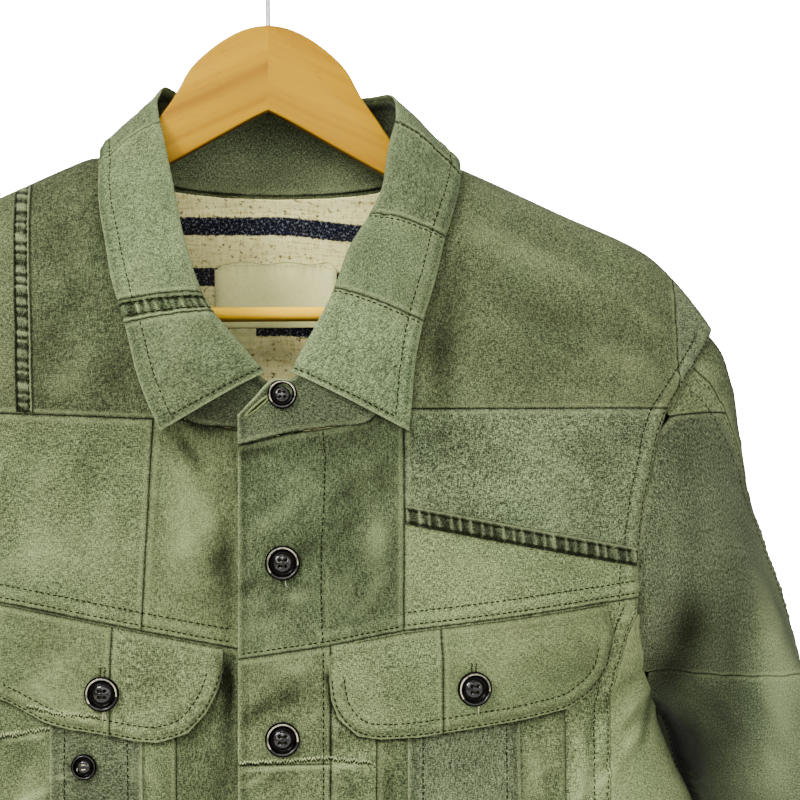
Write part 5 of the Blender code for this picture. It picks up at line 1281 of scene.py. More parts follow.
def make_back():
    """The yoke and both backs, and what shows in the neck opening, which lies under them."""
    yoke, hem, centre = fixed(BACK_YOKE_Z), fixed(HEM_Z), fixed(0.0)
    body_patch("back_yoke", "canvas_olive", (mirrored(back_edge), back_edge, back_neck_z, yoke), (SEAM,) * 4,
               pitch=BACK_YOKE_CELL, face=1, ridge=True)
    for name, slot, first, last in (("back_left", "canvas_sage", centre, back_edge),
                                    ("back_right", "canvas_grey_green", mirrored(back_edge), centre)):
        body_patch(name, slot, (first, last, yoke, hem), (SEAM, SEAM, SEAM, FREE), pitch=BACK_CELL, face=1,
                   rounded=True)
    edges = (fixed(-LINING_HALF_WIDTH), fixed(LINING_HALF_WIDTH), lining_head, fixed(LINING_FOOT_Z))
    body_patch("lining_back", "striped_lining", edges, (OPEN,) * 4, pitch=LINING_CELL, face=1,
               wall=LINING_WALL, lift=raised(-LINING_DEPTH), hidden=0, own=lining_look,
               cut=lambda x, z: np.stack([x, z - lining_sway(x), 0 * x], axis=-1))
    left, right, head, foot = LABEL
    wave = lambda x: head + 0.0007 * np.sin(x * 260) - 0.0035 * ease((np.abs(x + 0.0004) - 0.0290) / 0.0054)
    body_patch("label", "label_cloth", (fixed(left), fixed(right), wave, fixed(foot)), (SEAM,) * 4,
               face=1, wall=LABEL_WALL, hidden=0, lift=raised(-LABEL_DEPTH), own=label_look)
    left, right, head, foot = TAB
    body_patch("size_tab", "label_cloth", (fixed(left), fixed(right), fixed(head), fixed(foot)), (OPEN,) * 4,
               pitch=TAB_CELL, face=1, wall=LABEL_WALL, hidden=0, lift=raised(-LABEL_DEPTH), own=tab_look)


# ---------------------------------------------------------------- collar
def plain_body(x, z, face, lift=0.0):
    """The body without its relief."""
    turn = turn_of(x, z)
    return body_point(turn, z, face) + body_normal(turn, z, face) * np.asarray(lift)[..., None]


def collar_sections(rows):
    """Neckline, fold, edge and way out of each section of half a collar."""
    found = []
    for i, (neck_x, neck_z, fold_x, fold_y, fold_z, edge_x, edge_z) in enumerate(rows):
        face = 1 if i < BACK_SECTIONS else -1
        edge_z = min(edge_z, float(shoulder_z(edge_x)))
        neck = plain_body(neck_x, neck_z, face)
        fold = np.array((fold_x, fold_y, fold_z))
        edge = plain_body(edge_x, edge_z, face, COLLAR_LIFT)
        out = body_normal(turn_of(edge_x, edge_z), edge_z, face)
        fall = unit(edge - fold)
        found.append((neck, fold, edge, unit(out - fall * np.dot(out, fall))))
    return found


HALVES = {"left": collar_sections(COLLAR_LEFT), "right": collar_sections(COLLAR_RIGHT)}
LEAF = np.array([*reversed(HALVES["right"]), *HALVES["left"][1:]])
CENTRE_SECTION = len(COLLAR_RIGHT) - 1
FIRST_SECTION, LAST_SECTION = -CENTRE_SECTION, len(COLLAR_LEFT) - 1
SECTION_SIDE, LEAF_SIDE, STAND_SIDE = 0.018, 0.055, 0.035     # of the cloth: a section, the leaf, the stand
LEAF_HEM = 0.0063


def between(rows, place):
    """Rows of a table at a place along it, on a smooth curve through all of them."""
    last = len(rows) - 1
    i = np.clip(np.floor(place).astype(int), 0, last - 1)
    t = (place - i)[(...,) + (None,) * (rows.ndim - 1)]
    p, q, r, s = (rows[np.clip(i + k, 0, last)] for k in (-1, 0, 1, 2))
    return 0.5 * (2 * q + (r - p) * t + (2 * p - 5 * q + 4 * r - s) * t**2 + (3 * q - p - 3 * r + s) * t**3)


def leaf_point(section, reach):
    """The leaf from its fold, 0, over a soft roll to its edge, 1."""
    _, fold, edge, out = np.moveaxis(between(LEAF, section + CENTRE_SECTION), -2, 0)
    bulge = COLLAR_BULGE * (1 - 0.6 * bell(np.abs(section) - 5, 2.2))
    middle = fold + (edge - fold) * 0.3 + unit(out) * bulge[..., None]
    t = reach[..., None]
    return (1 - t) ** 2 * fold + 2 * t * (1 - t) * middle + t**2 * edge


def facing_out(point, a, b, heart):
    """Normals of point(a, b), turned away from the heart of the piece."""
    step = 1e-3
    across = point(a + step, b) - point(a - step, b)
    down = point(a, b + step) - point(a, b - step)
    normal = unit(np.cross(down, across))
    outward = (normal * (point(a, b) - heart)).sum()
    return -normal if outward < 0 else normal


NECK_HEART = np.array((0.0, -0.010, -0.250))
COLLAR_PUCKERS = puckered(60, [
    ([(section * SECTION_SIDE, 0.003), (section * SECTION_SIDE, 0.053)], 7, 5, 0.5)
    for section in (-12, -11, -7, 7, 10, 12)
]) + puckers([(section * SECTION_SIDE, 0.047) for section in (FIRST_SECTION, LAST_SECTION)], 7, 6, 0.45, 70)


def leaf_length(section):
    """From fold to edge, straight across."""
    parts = between(LEAF, section + CENTRE_SECTION)
    return np.linalg.norm(parts[..., 2, :] - parts[..., 1, :], axis=-1)


def leaf_surface(section, reach):
    """Points, normals, height and shade of the collar leaf."""
    point = leaf_point(section, reach)
    normal = facing_out(leaf_point, section, reach, NECK_HEART)
    s, r = section * SECTION_SIDE, reach * LEAF_SIDE
    fine = strokes(COLLAR_PUCKERS, s, r)
    edge = (1 - reach) * leaf_length(section)
    hem = 0.0005 * np.sin(np.pi * np.clip(edge / LEAF_HEM, 0, 1))
    hem = hem - 0.0004 * bell(edge - LEAF_HEM, 0.0012)
    height = 0.8 * crumple(point, 50) + strokes(COLLAR_CREASES, s, r)
    return point, normal, height + fine + hem, COLLAR_LIGHT[0] * fine + COLLAR_LIGHT[1] * height


def collar_fell_look(section, reach):
    return ladder(reach * 0.058, section + 12, 0.03)


def make_collar():
    pieces = (
        ("collar_right_tip", -14, -12, -0.20, (FREE, SEAM, FOLD, FREE)),
        ("collar_right_fell", -12, -11, -0.10, (SEAM, SEAM, FOLD, FREE)),
        ("collar_right_upper", -11, -7, 0.05, (SEAM, THIN, FOLD, FREE)),
        ("collar_back", -7, 7, -0.04, (THIN, SEAM, FOLD, FREE)),
        ("collar_left_upper", 7, 10, -0.22, (SEAM, SEAM, FOLD, FREE)),
        ("collar_left_middle", 10, 12, -0.06, (SEAM, SEAM, FOLD, FREE)),
        ("collar_left_tip", 12, 15, 0.32, (SEAM, FREE, FOLD, FREE)),
    )
    for name, first, last, tint, kinds in pieces:
        rough = leaf_point(*np.meshgrid(np.linspace(first, last, 30), np.linspace(0, 1, 20)))
        wide, tall = extents(rough)
        pitch = COLLAR_FELL_CELL if name == "collar_right_fell" else SEEN_CELL
        section, reach = np.meshgrid(first + (last - first) * spaced(wide, pitch), spaced(tall, SEEN_CELL))
        point, normal, height, shade = leaf_surface(section, reach)
        if name == "collar_right_fell":
            more, tone = collar_fell_look(section, reach)
            height, shade = height + more, shade + tone
        cut = np.stack([arc(point, 1)[0], -arc(point, 0)[0], np.full(section.shape, first * 0.4)], axis=-1)
        shell(name, "canvas_leaf", point + (CENTRE_X, 0, 0), normal, height, shade, kinds, tint=tint,
              held="folded", cut=cut)
    make_stand()


def stand_rails():
    """Foot and top of the band below the collar's fold, from its right end to its left end."""
    rails = []
    for neck_x, neck_z, top_x, top_z in reversed(STAND_RIGHT_END):
        rails.append((plain_body(neck_x, neck_z, -1), plain_body(top_x, top_z, -1)))
    for neck, fold, _, _ in reversed(HALVES["right"]):
        rails.append((neck, fold - unit(fold - neck) * LEAF_OVER_STAND))
    for i, (neck, fold, _, _) in enumerate(HALVES["left"][1:], 1):
        if i >= BACK_SECTIONS:
            neck = plain_body(neck[0], neck[2], -1, placket_lift(neck[0]))
        rails.append((neck, fold - unit(fold - neck) * LEAF_OVER_STAND))
    for neck_x, neck_z, top_x, top_z in STAND_LEFT_END:
        rails.append((plain_body(neck_x, neck_z, -1, STACK), plain_body(top_x, top_z, -1, STAND_END_LIFT)))
    return np.array(rails)


RAILS = stand_rails()


def stand_point(place, share):
    neck, top = np.moveaxis(between(RAILS, place), -2, 0)
    foot = neck + unit(top - neck) * NECK_GAP
    return foot + (top - foot) * share[..., None]


def stand_surface(place, share):
    """Points, normals, height and shade of the stand: dark under the leaf and at its ends, lit behind."""
    point = stand_point(place, share)
    normal = facing_out(stand_point, place, share, NECK_HEART)
    height = 0.7 * crumple(point, 90) + 0.0009 * np.sin(place * 2.1) * share * (1 - share)
    s, r = place * SECTION_SIDE, share * STAND_SIDE
    fine = strokes(STAND_PUCKERS, s, r)
    last = len(RAILS) - 1
    # painted shade under the leaf and at both ends, and painted light behind the neck
    painted_shade_under = ease((share - 0.35) / 0.55) * ease((place - 5.5) / 2.0) * ease((last - 4.5 - place) / 2.0)
    right_end = ease((4.6 - place) / 2.0)
    left_end = ease((place - last + 4.5) / 1.5) * ease((last - 1.0 - place) / 1.4)
    lit = bell(place - last / 2, 3.5) * bell(share - 0.30, 0.28)
    rolled = ease((place - last + 2.9) / 0.4) * bell(1 - share, 0.07)
    shade = STAND_LIGHT[0] * fine + STAND_LIGHT[1] * height
    shade = shade - 0.62 * (0.85 * right_end + 1.15 * painted_shade_under + 0.50 * left_end)
    return point, normal, height + fine + 0.0007 * rolled, shade + 0.8 * rolled + 0.14 * lit


STAND_PUCKERS = puckers([(0.0, 0.001), (len(RAILS) * SECTION_SIDE, 0.001)], 7, 5, 0.6, 91)


def make_stand():
    last = len(RAILS) - 1
    rough = stand_point(*np.meshgrid(np.linspace(0, last, 80), np.linspace(0, 1, 9)))
    wide, tall = extents(rough)
    place, share = np.meshgrid(last * spaced(wide, STAND_CELL), spaced(tall, STAND_CELL))
    point, normal, height, shade = stand_surface(place, share)
    across, down = arc(point, 1)[0], arc(point, 0)[0]
    middle = np.broadcast_to(across[len(across) // 2], across.shape)
    shell("collar_stand", "canvas_moss", point + (CENTRE_X, 0, 0), normal, height, shade,
          (FREE, FREE, SEAM, FREE), held="folded", tint=0.06, hidden=0,
          cut=np.stack([middle, -down, 0 * down], axis=-1))


# ---------------------------------------------------------------- sleeves
def armhole_loop():
    loops = {}
    for face, column in ((-1, 1), (1, 2)):
        rows = list(reversed(ARMHOLE))
        points = plain_body(np.array([row[column] for row in rows]), np.array([row[0] for row in rows]), face)
        run = run_of(points)
        loops[face] = (run / run[-1], points)
    return loops


LOOPS = armhole_loop()


def armhole_point(turn):
    """Turn 0 is the shoulder, 0.25 the front, 0.5 the underarm and 0.75 the back."""
    found = []
    for face, share in ((-1, 2 * turn), (1, 2 - 2 * turn)):
        keys, points = LOOPS[face]
        found.append(np.stack([np.interp(share, keys, points[:, k]) for k in range(3)], axis=-1))
    return np.where((turn <= 0.5)[..., None], *found)


def ring_point(turn, z):
    """A point of the sleeve's flat-sided rings, which slope and are turned about their middles."""
    centre_x, centre_y, half_x, half_y = (curve(SLEEVE_RINGS, z, column) for column in (1, 2, 3, 4))
    c, s = np.cos(2 * np.pi * turn), np.sin(2 * np.pi * turn)
    u = half_x * np.sign(c) * np.abs(c) ** 0.9
    v = -half_y * np.sign(s) * np.abs(s) ** 0.9
    across = u * math.cos(SLEEVE_TURN) - v * math.sin(SLEEVE_TURN)
    deep = centre_y + u * math.sin(SLEEVE_TURN) + v * math.cos(SLEEVE_TURN)
    return np.stack([centre_x + across, deep, z + RING_SLOPE * across], axis=-1)


def sleeve_point(turn, along):
    """Along 0 is the armhole, 1 the first ring and 2 the end of the cuff."""
    turn = turn % 1.0
    below = ring_point(turn, FIRST_RING_Z + np.maximum(along - 1, 0) * (SLEEVE_END_Z - FIRST_RING_Z))
    start, end = armhole_point(turn), ring_point(turn, np.full(turn.shape, FIRST_RING_Z))
    reach = CAP_REACH * np.linalg.norm(end - start, axis=-1, keepdims=True)
    middle = end + reach * np.array((-CAP_LEAN, 0.0, 1.0))
    t = np.minimum(along, 1.0)[..., None]
    cap = (1 - t) ** 2 * start + 2 * t * (1 - t) * middle + t**2 * end
    outer = (0.5 + 0.5 * np.cos(2 * np.pi * turn))[..., None] ** 2
    fuller = SHOULDER_FULLNESS * bell(t - 0.13, 0.12) - ARM_HOLLOW * np.sin(np.pi * t) ** 2 * t
    fuller = fuller - ELBOW_HOLLOW * bell(t - 0.80, 0.17) * ease((1 - t) / 0.2)
    tucked = SLEEVE_TUCK * (1 - ease(t / 0.06))
    cap = cap + (outer * fuller * ease(t / 0.05) - tucked) * np.array((1.0, 0.0, 0.0))
    return np.where((along >= 1)[..., None], below, cap)


ROUND, CAP, ARM = 0.330, 0.220, 0.345      # of the cloth: round the sleeve, down its cap, down to its end


def sleeve_cloth(turn, along):
    """The sleeve's own cloth in metres: round it, and down it."""
    return turn * ROUND, CAP * np.minimum(along, 1) + ARM * np.maximum(along - 1, 0)


def sleeve_seam(turn, count=30):
    s, start = sleeve_cloth(turn, 0.02)
    return [(s, z) for z in np.linspace(start, 0.50, count)]


SLEEVE_PUCKERS = puckered(101, (
    (sleeve_seam(OUTER_SEAM), 10, 6, 0.7), (sleeve_seam(UNDER_SEAM), 10, 6, 0.7),
    ([(0.0, 0.002), (ROUND, 0.002)], 12, 6, 0.6, (1,)),
    ([(0.0, 0.495), (ROUND, 0.495)], 14, 6, 0.8, (-1,)),
))


def sleeve_surface(side, turn, along):
    """Points, normals, height and shade of a sleeve; the right one mirrors the left, with its own folds."""
    sign = 1 if side == "left" else -1

    def point_at(a, b):
        return sleeve_point(a, b) * (sign, 1, 1)

    point = point_at(turn, along)
    z = np.clip(point[..., 2], SLEEVE_END_Z, FIRST_RING_Z)
    heart = np.stack([sign * curve(SLEEVE_RINGS, z, 1), curve(SLEEVE_RINGS, z, 2), point[..., 2]], axis=-1)
    normal = facing_out(point_at, turn, along, heart)
    s, l = sleeve_cloth(turn % 1.0, along)
    if side == "right":
        folds = strokes(SLEEVE_CREASES, 0.004 + 0.97 * s, 1.05 * l - 0.009)
    else:
        folds = strokes(SLEEVE_CREASES, s, l)
    fine = strokes(SLEEVE_PUCKERS, s, l)
    calm = ease(l / 0.030)
    height = calm * (folds + 1.4 * crumple(point, 120 if side == "left" else 130)) + ease(l / 0.004) * fine
    shade = SLEEVE_LIGHT[0] * fine + SLEEVE_LIGHT[1] * (height - fine)
    if side == "left":
        on_front = point[..., 1] < 0.02
        shade = shade + np.where(on_front, spots(SLEEVE_PAINTED_LIGHT_AND_SHADE, point[..., 0], point[..., 2]), 0.0)
    seam = bell(s - OUTER_SEAM * ROUND, 0.0045) * (0.6 + 0.6 * noise(point, 0.016, 140))
    # painted shade under the arm, low on the sleeve
    painted_shade_under = bell(turn % 1.0 - UNDER_SEAM, 0.07) * ease((-0.400 - point[..., 2]) / 0.060)
    return point, normal, height, shade + 0.35 * seam - 0.55 * painted_shade_under


def along_at(turn, z):
    """How far along the sleeve a height is reached."""
    low, high = np.full(turn.shape, SLEEVE_START), np.full(turn.shape, 1.9)
    for _ in range(30):
        middle = (low + high) / 2
        above = sleeve_point(turn, middle)[..., 2] > z
        low, high = np.where(above, middle, low), np.where(above, high, middle)
    return low


def sleeve_patch(name, side, slot, turns, head, foot, kinds, pitch, tint=0.0, lift=0.0, seed=0.0):
    first, last = turns
    probe_turn, b = np.meshgrid(np.linspace(first, last, 40), np.linspace(0, 1, 30))
    rough = sleeve_point(probe_turn, head(probe_turn) + (foot(probe_turn) - head(probe_turn)) * b)
    wide, tall = extents(rough)
    turn, b = np.meshgrid(first + (last - first) * spaced(wide, pitch), spaced(tall, pitch))
    along = head(turn) + (foot(turn) - head(turn)) * b
    point, normal, height, shade = sleeve_surface(side, turn, along)
    s, l = sleeve_cloth(turn, along)
    cut = np.stack([s, -l, np.full(s.shape, seed)], axis=-1)
    shell(name, slot, point + (CENTRE_X, 0, 0), normal, height + lift, shade, kinds, tint=tint, cut=cut)


def sleeve_turns(first, last):
    """The armhole's own corners between two turns."""
    found = {first, last}
    for face, (keys, _) in LOOPS.items():
        for key in keys:
            turn = key / 2 if face < 0 else 1 - key / 2
            if first + 0.012 < turn < last - 0.012:
                found.add(float(turn))
    return np.array(sorted(found))


def make_sleeves():
    """Each patch between two turns, a head and a foot; the left sleeve's front is pieced below its cap."""
    start, cuff, end = fixed(SLEEVE_START), fixed(CUFF_ALONG), fixed(2.0)
    front = sleeve_turns(OUTER_SEAM, UNDER_SEAM)
    heights = armhole_point(front)[:, 2]
    cap_end = front[heights < CAP_SEAM_Z][0]
    pieced_end = front[heights < PIECED_SEAM_Z + 0.006][0]
    share = np.minimum((front - OUTER_SEAM) / (cap_end - OUTER_SEAM), 1.0)
    cap_rows = CAP_SEAM_ALONG[0] + (CAP_SEAM_ALONG[1] - CAP_SEAM_ALONG[0]) * share
    head_rows = np.where(front <= cap_end, cap_rows, SLEEVE_START)
    cap_foot = lambda turn: np.interp(turn, front, cap_rows)
    upper_head = lambda turn: np.interp(turn, front, head_rows)
    pieced_rows = np.maximum(along_at(front, PIECED_SEAM_Z), SLEEVE_START)
    pieced = lambda turn: np.interp(turn, front, pieced_rows)
    all_front, all_back = (OUTER_SEAM, UNDER_SEAM), (UNDER_SEAM, 1 + OUTER_SEAM)
    four = (SEAM,) * 4
    sleeve_patch("sleeve_left_cap", "left", "canvas_olive", (OUTER_SEAM, cap_end), start, cap_foot, four,
                 0.0020, tint=0.12, seed=1.0)
    # the left sleeve's upper and lower front pieces are tinted darker: their own dye, and partly painted
    # shade on the sleeve's front
    sleeve_patch("sleeve_left_upper", "left", "canvas_moss", (OUTER_SEAM, pieced_end), upper_head, pieced,
                 (SEAM, None, SEAM, THIN), 0.0020, tint=-0.12, seed=2.0)
    sleeve_patch("sleeve_left_lower", "left", "canvas_grey_green", all_front, pieced, cuff,
                 (SEAM, None, THIN, SEAM), 0.0026, tint=-0.32, seed=3.0)
    sleeve_patch("sleeve_left_back", "left", "canvas_olive", all_back, start, cuff, (None, SEAM, SEAM, SEAM),
                 0.0042, seed=4.0)
    sleeve_patch("sleeve_right_front", "right", "canvas_moss", all_front, start, cuff, four,
                 0.0034, tint=0.05, seed=5.0)
    sleeve_patch("sleeve_right_back", "right", "canvas_olive", all_back, start, cuff, four, 0.0042, seed=6.0)
    for side in ("left", "right"):
        sleeve_patch(f"sleeve_{side}_cuff", side, "canvas_sage", (UNDER_SEAM, UNDER_SEAM + 1), cuff, end,
                     (FREE, FREE, SEAM, FREE), 0.0030, lift=0.0008, tint=-0.08, seed=7.0)


# ---------------------------------------------------------------- thread
STITCH, STITCH_SHARE, THREAD = 0.0031, 0.66, 0.00036


def tubes(name, lines, ups, radius, finish):
    """Joined four-sided tubes along lines (tube, point, xyz); radius is one row for all of them."""
    way = unit(np.gradient(lines, axis=1))
    across = unit(np.cross(way, ups))
    up = np.cross(across, way)
    turns = np.arange(4) * math.pi / 2
    cosine, sine = (f(turns)[None, None, :, None] for f in (np.cos, np.sin))
    size = np.asarray(radius)[None, :, None, None]
    rings = lines[:, :, None] + size * (cosine * across[:, :, None] + sine * up[:, :, None])
    index = np.arange(rings.size // 3).reshape(rings.shape[:3])
    a, b = index[:, :-1], index[:, 1:]
    sides = np.stack([a, b, np.roll(b, -1, axis=2), np.roll(a, -1, axis=2)], axis=-1).reshape(-1, 4)
    faces = [sides, index[:, 0], index[:, -1, ::-1]]
    made = mesh_object(name, rings.reshape(-1, 3), faces, finish)
    return made


def resampled(path, step=0.001):
    """Corners joined by straight lines, as points at an even step."""
    path = np.array(path, float)
    run = run_of(path)
    marks = np.linspace(0, run[-1], max(int(run[-1] / step), 2) + 1)
    return np.stack([np.interp(marks, run, path[:, k]) for k in range(path.shape[1])], axis=-1)


def dashes(points, normals, seed, pitch=STITCH, share=STITCH_SHARE):
    """Stitches along a line on the cloth; both ends of each dive into it."""
    draw = np.random.default_rng(seed)
    run = run_of(points)
    count = max(int(run[-1] / pitch), 1)
    starts = np.linspace(0, run[-1] - pitch, count) + draw.uniform(-0.10, 0.10, count) * pitch
    marks = starts[:, None] + pitch * share * np.array((0.0, 0.15, 0.5, 0.85, 1.0))
    line_points = np.stack([np.interp(marks, run, points[:, k]) for k in range(3)], axis=-1)
    up = unit(np.stack([np.interp(marks, run, normals[:, k]) for k in range(3)], axis=-1))
    rise = np.array((-0.00030, 0.00012, 0.00020, 0.00012, -0.00030))[None, :, None]
    return line_points + up * rise, up


DASH_RADIUS = THREAD * np.array((0.6, 0.95, 1.0, 0.95, 0.6))


def sewn(name, rows, finish=None, radius=1.0):
    """One mesh of all the stitches in rows of (points, normals)."""
    made = [dashes(points, normals, seed) for seed, (points, normals) in enumerate(rows)]
    lines, ups = (np.concatenate([pair[k] for pair in made]) for k in (0, 1))
    tubes(name, lines, ups, DASH_RADIUS * radius, finish or DARK_THREAD)


def body_row(path, face=-1, lift=None):
    """Points and normals of a line of stitches on the body, for sewn()."""
    path = resampled(path)
    x, z = path[:, 0], path[:, 1]
    return on_body(x, z, face, 0.0 if lift is None else lift(x, z))


def offset(edge, amount):
    return lambda key: edge(key) + amount


def sideways(path):
    """Directions across a path, to its left."""
    way = unit(np.gradient(path, axis=0))
    return np.stack([-way[:, 1], way[:, 0]], axis=-1)


def wobble(path, amplitude, pitch):
    """A path that zigzags, for overlocked and satin-stitched edges."""
    points = resampled(path, pitch / 2)
    return points + sideways(points) * (amplitude * np.where(np.arange(len(points)) % 2, 1, -1))[:, None]


def inset_outline(outline, amount):
    """The flap's outline moved in from its edge."""
    path = resampled(outline, 0.003)
    kernel = np.ones(5) / 5
    moved = path + sideways(path) * amount
    for k in (0, 1):
        padded = np.concatenate([[moved[0, k]] * 2, moved[:, k], [moved[-1, k]] * 2])
        moved[:, k] = np.convolve(padded, kernel, mode="valid")
    return moved


def mirrored_rows(edge, start, end, face=-1):
    """A row along an edge on the wearer's left, and the same on the right."""
    return [body_row(along_z(side, start, end), face) for side in (edge, mirrored(edge))]


def front_rows():
    rows = []
    placket = ((0.0224, -0.2930), (0.0236, -0.3060), (0.0231, -0.3270), (0.0216, -0.3500), (0.0215, -0.3750),
               (0.0222, -0.4010))
    rows.append(body_row(placket, lift=placket_lift))
    rows.append(body_row(((0.0226, -0.4060), (0.0232, HEM_Z + 0.003)), lift=placket_lift))
    for rise in YOKE_ROWS:
        rows.append(body_row(along_x(offset(yoke_left, rise), 0.0660, 0.1885)))
        rows.append(body_row(along_x(offset(yoke_right, rise), -0.1885, -0.0245)))
    rows.append(body_row(along_x(offset(yoke_left, 0.0025), -0.0190, 0.0630), lift=placket_lift))
    for inside in (0.0018, 0.0100):
        rows += mirrored_rows(offset(front_armhole, -inside), -0.2420, -0.3640)
    for inside in (0.0016, 0.0088):
        rows += mirrored_rows(offset(side_seam_x, -inside), -0.3860, HEM_Z + 0.003)
    rows.append(body_row(((-0.1885, -0.3660), (-0.1800, -0.3860))))
    rows.append(body_row(((0.1800, -0.3640), (0.1792, -0.3860))))
    for rise in (-0.0033, 0.0030):
        rows.append(body_row(along_x(offset(fell_left, rise), 0.0660, 0.1880), lift=raised(FELL_LIFT)))
        rows.append(body_row(along_z(offset(fell_right, rise), -0.1760, -0.2820), lift=raised(FELL_LIFT)))
    for side, (left, right, pleat_left, pleat_right) in POCKETS.items():
        foot = POCKET_FOOT_Z + 0.0016
        rows.append(body_row(((left + 0.0016, foot), (right - 0.0016, foot)), lift=pocket_lift(side)))
        for x in (pleat_left + 0.0076, pleat_right - 0.0074):
            path = ((x, POCKET_HEAD_Z - 0.002), (x, POCKET_FOOT_Z + 0.003))
            rows.append(body_row(path, lift=raised(2 * STACK)))
    for side, yoke in (("left", yoke_left), ("right", yoke_right)):
        for amount in (0.0013, 0.0076):
            rows.append(body_row(inset_outline(FLAPS[side], amount), lift=flap_lift(side, yoke)))
    rows.append(body_row(((-0.165, HEM_Z + 0.0150), (-0.0240, HEM_Z + 0.0150))))
    rows.append(body_row(((-0.0190, HEM_Z + 0.0150), (0.165, HEM_Z + 0.0150)), lift=placket_lift))
    return rows


FRAY_REACH, FRAY_PITCH, FRAY_RISE = 0.0011, 0.0016, 0.0012


def frayed_rows(rise):
    """The raw edges over the placket's join, the right pocket and its flap, moved up by a rise."""
    return [
        body_row(wobble([(x, z + rise) for x, z in path], FRAY_REACH, FRAY_PITCH), lift=lift)
        for path, lift in (
            (((-0.0200, -0.4632), (0.0020, -0.4620), (0.0240, -0.4606), (0.0480, -0.4636)), placket_lift),
            (((-0.1428, -0.4496), (-0.1290, -0.4478), (-0.1160, -0.4452)), raised(STACK)),
            (((-0.1428, -0.4505), (-0.1300, -0.4490)), raised(STACK)),
            (((-0.1262, -0.4330), (-0.1100, -0.4374), (-0.0905, -0.4382)), flap_lift("right", yoke_right)),
        )
    ]


def buttonhole_rows():
    """The satin-stitched buttonholes above the flaps' buttons."""
    rows = []
    for side, yoke in (("left", yoke_left), ("right", yoke_right)):
        x, z = BUTTONS[f"button_flap_{side}"][:2]
        for shift in (-0.0009, 0.0009):
            hole = ((x + shift, z + 0.0040), (x + shift * 1.3, z + 0.0135))
            rows.append(body_row(wobble(hole, 0.0007, 0.0007), lift=flap_lift(side, yoke)))
    return rows


def back_rows():
    rows = []
    for drop in (0.0018, 0.0082):
        rows.append(body_row(((-0.2030, BACK_YOKE_Z + drop), (0.2030, BACK_YOKE_Z + drop)), 1))
        rows += mirrored_rows(offset(back_edge, -drop), -0.2420, -0.4400, 1)
    for x in (0.0016, 0.0080):
        rows.append(body_row(((x, BACK_YOKE_Z - 0.003), (x, HEM_Z + 0.003)), 1))
    rows.append(body_row(((-0.215, HEM_Z + 0.0150), (0.215, HEM_Z + 0.0150)), 1))
    return rows


def laid_on(surface, lift=0.0):
    """Points and normals of a line on a surface of points, normals, heights and shades."""
    point, normal, height, _ = surface
    return point + normal * (height + lift)[:, None] + (CENTRE_X, 0, 0), normal


def leaf_row(places):
    return laid_on(leaf_surface(*np.array(places).T))


def leaf_reach(section, inside):
    """How far out of the fold a line runs that keeps this far inside the leaf's edge."""
    return 1 - inside / leaf_length(np.asarray(section, float))


def collar_rows():
    rows = []
    first, last = FIRST_SECTION + 0.22, LAST_SECTION - 0.28
    section = np.linspace(first, last, 900)
    rows.append(leaf_row(np.stack([section, leaf_reach(section, LEAF_HEM)], axis=-1)))
    lines = [(section, 0.03, float(leaf_reach(section, LEAF_HEM))) for section in (first, last)]
    lines += [(section, 0.02, 0.98) for section in (-12.0 + 0.16, -11.0 - 0.16, 10.10, 12.08, 7.08)]
    for section, start, end in lines:
        rows.append(leaf_row(np.stack([np.full(80, section), np.linspace(start, end, 80)], axis=-1)))
    return rows


SATIN_FROM_END, SATIN_REACH, SATIN_SHARE = 2.15, 0.42, 0.745      # in the stand's sections, and up it


def make_buttonhole():
    """The stand's buttonhole: a lip of satin stitches round a dark slot."""
    turn = np.linspace(0, 2 * np.pi, 61)
    for name, half, radius, finish in (("buttonhole_satin", 0.050, 0.00075, LIP_THREAD),
                                       ("buttonhole_slot", 0.012, 0.00060, DARK_THREAD)):
        place = len(RAILS) - SATIN_FROM_END - (SATIN_REACH + 3 * half) * np.cos(turn)
        points, normals = laid_on(stand_surface(place, SATIN_SHARE + half * np.sin(turn)), 0.0001)
        ridges = radius * (1 + 0.22 * np.sin(turn * 30)) if half > 0.02 else np.full(61, radius)
        tubes(name, points[None], normals[None], ridges, finish)


def sleeve_row(side, turn, along, lift=0.0):
    return laid_on(sleeve_surface(side, turn, along), lift)


def sleeve_rows():
    rows = []
    for side in ("left", "right"):
        down = np.linspace(0.03, CUFF_ALONG - 0.01, 500)
        for shift in (0.0065, 0.0260):
            rows.append(sleeve_row(side, np.full(500, OUTER_SEAM + shift), down, -0.00022))
        rows.append(sleeve_row(side, np.full(500, UNDER_SEAM + 0.050), down))
        turn = np.linspace(0.502, 1.498, 500)
        for along in (CUFF_ALONG + 0.010, 1.985):
            rows.append(sleeve_row(side, turn, np.full(500, along), 0.0008))
    return rows


def label_rows():
    """Pale stitches round the label and the tab."""
    depth = LABEL_DEPTH + LABEL_WALL
    rows = []
    for (left, right, head, foot), inside in ((LABEL, 0.0016), (TAB, 0.0012)):
        left, right, head, foot = left + inside, right - inside, head - inside, foot + inside
        dip = 0.0026 if inside > 0.0014 else 0.0
        path = ((left, foot), (left, head - dip), (left + 0.006, head),
                (right - 0.006, head), (right, head - dip), (right, foot))
        points, normals = body_row(path, 1)
        rows.append((points - normals * depth, -normals))
    return rows


def strands(name, starts):
    """Loose thread ends that hang from a button: x, z, length, lean."""
    lines, ups = [], []
    for x, z, length, lean, lift in starts:
        t = np.linspace(0, 1, 7)
        path_x, path_z = x + lean * t**1.6, z - length * t
        points, normals = on_body(path_x, path_z, -1, lift + 0.0004 + 0.0012 * np.sin(np.pi * t))
        lines.append(points)
        ups.append(normals)
    tubes(name, np.array(lines), np.array(ups), np.full(7, 0.00016), PALE_THREAD)


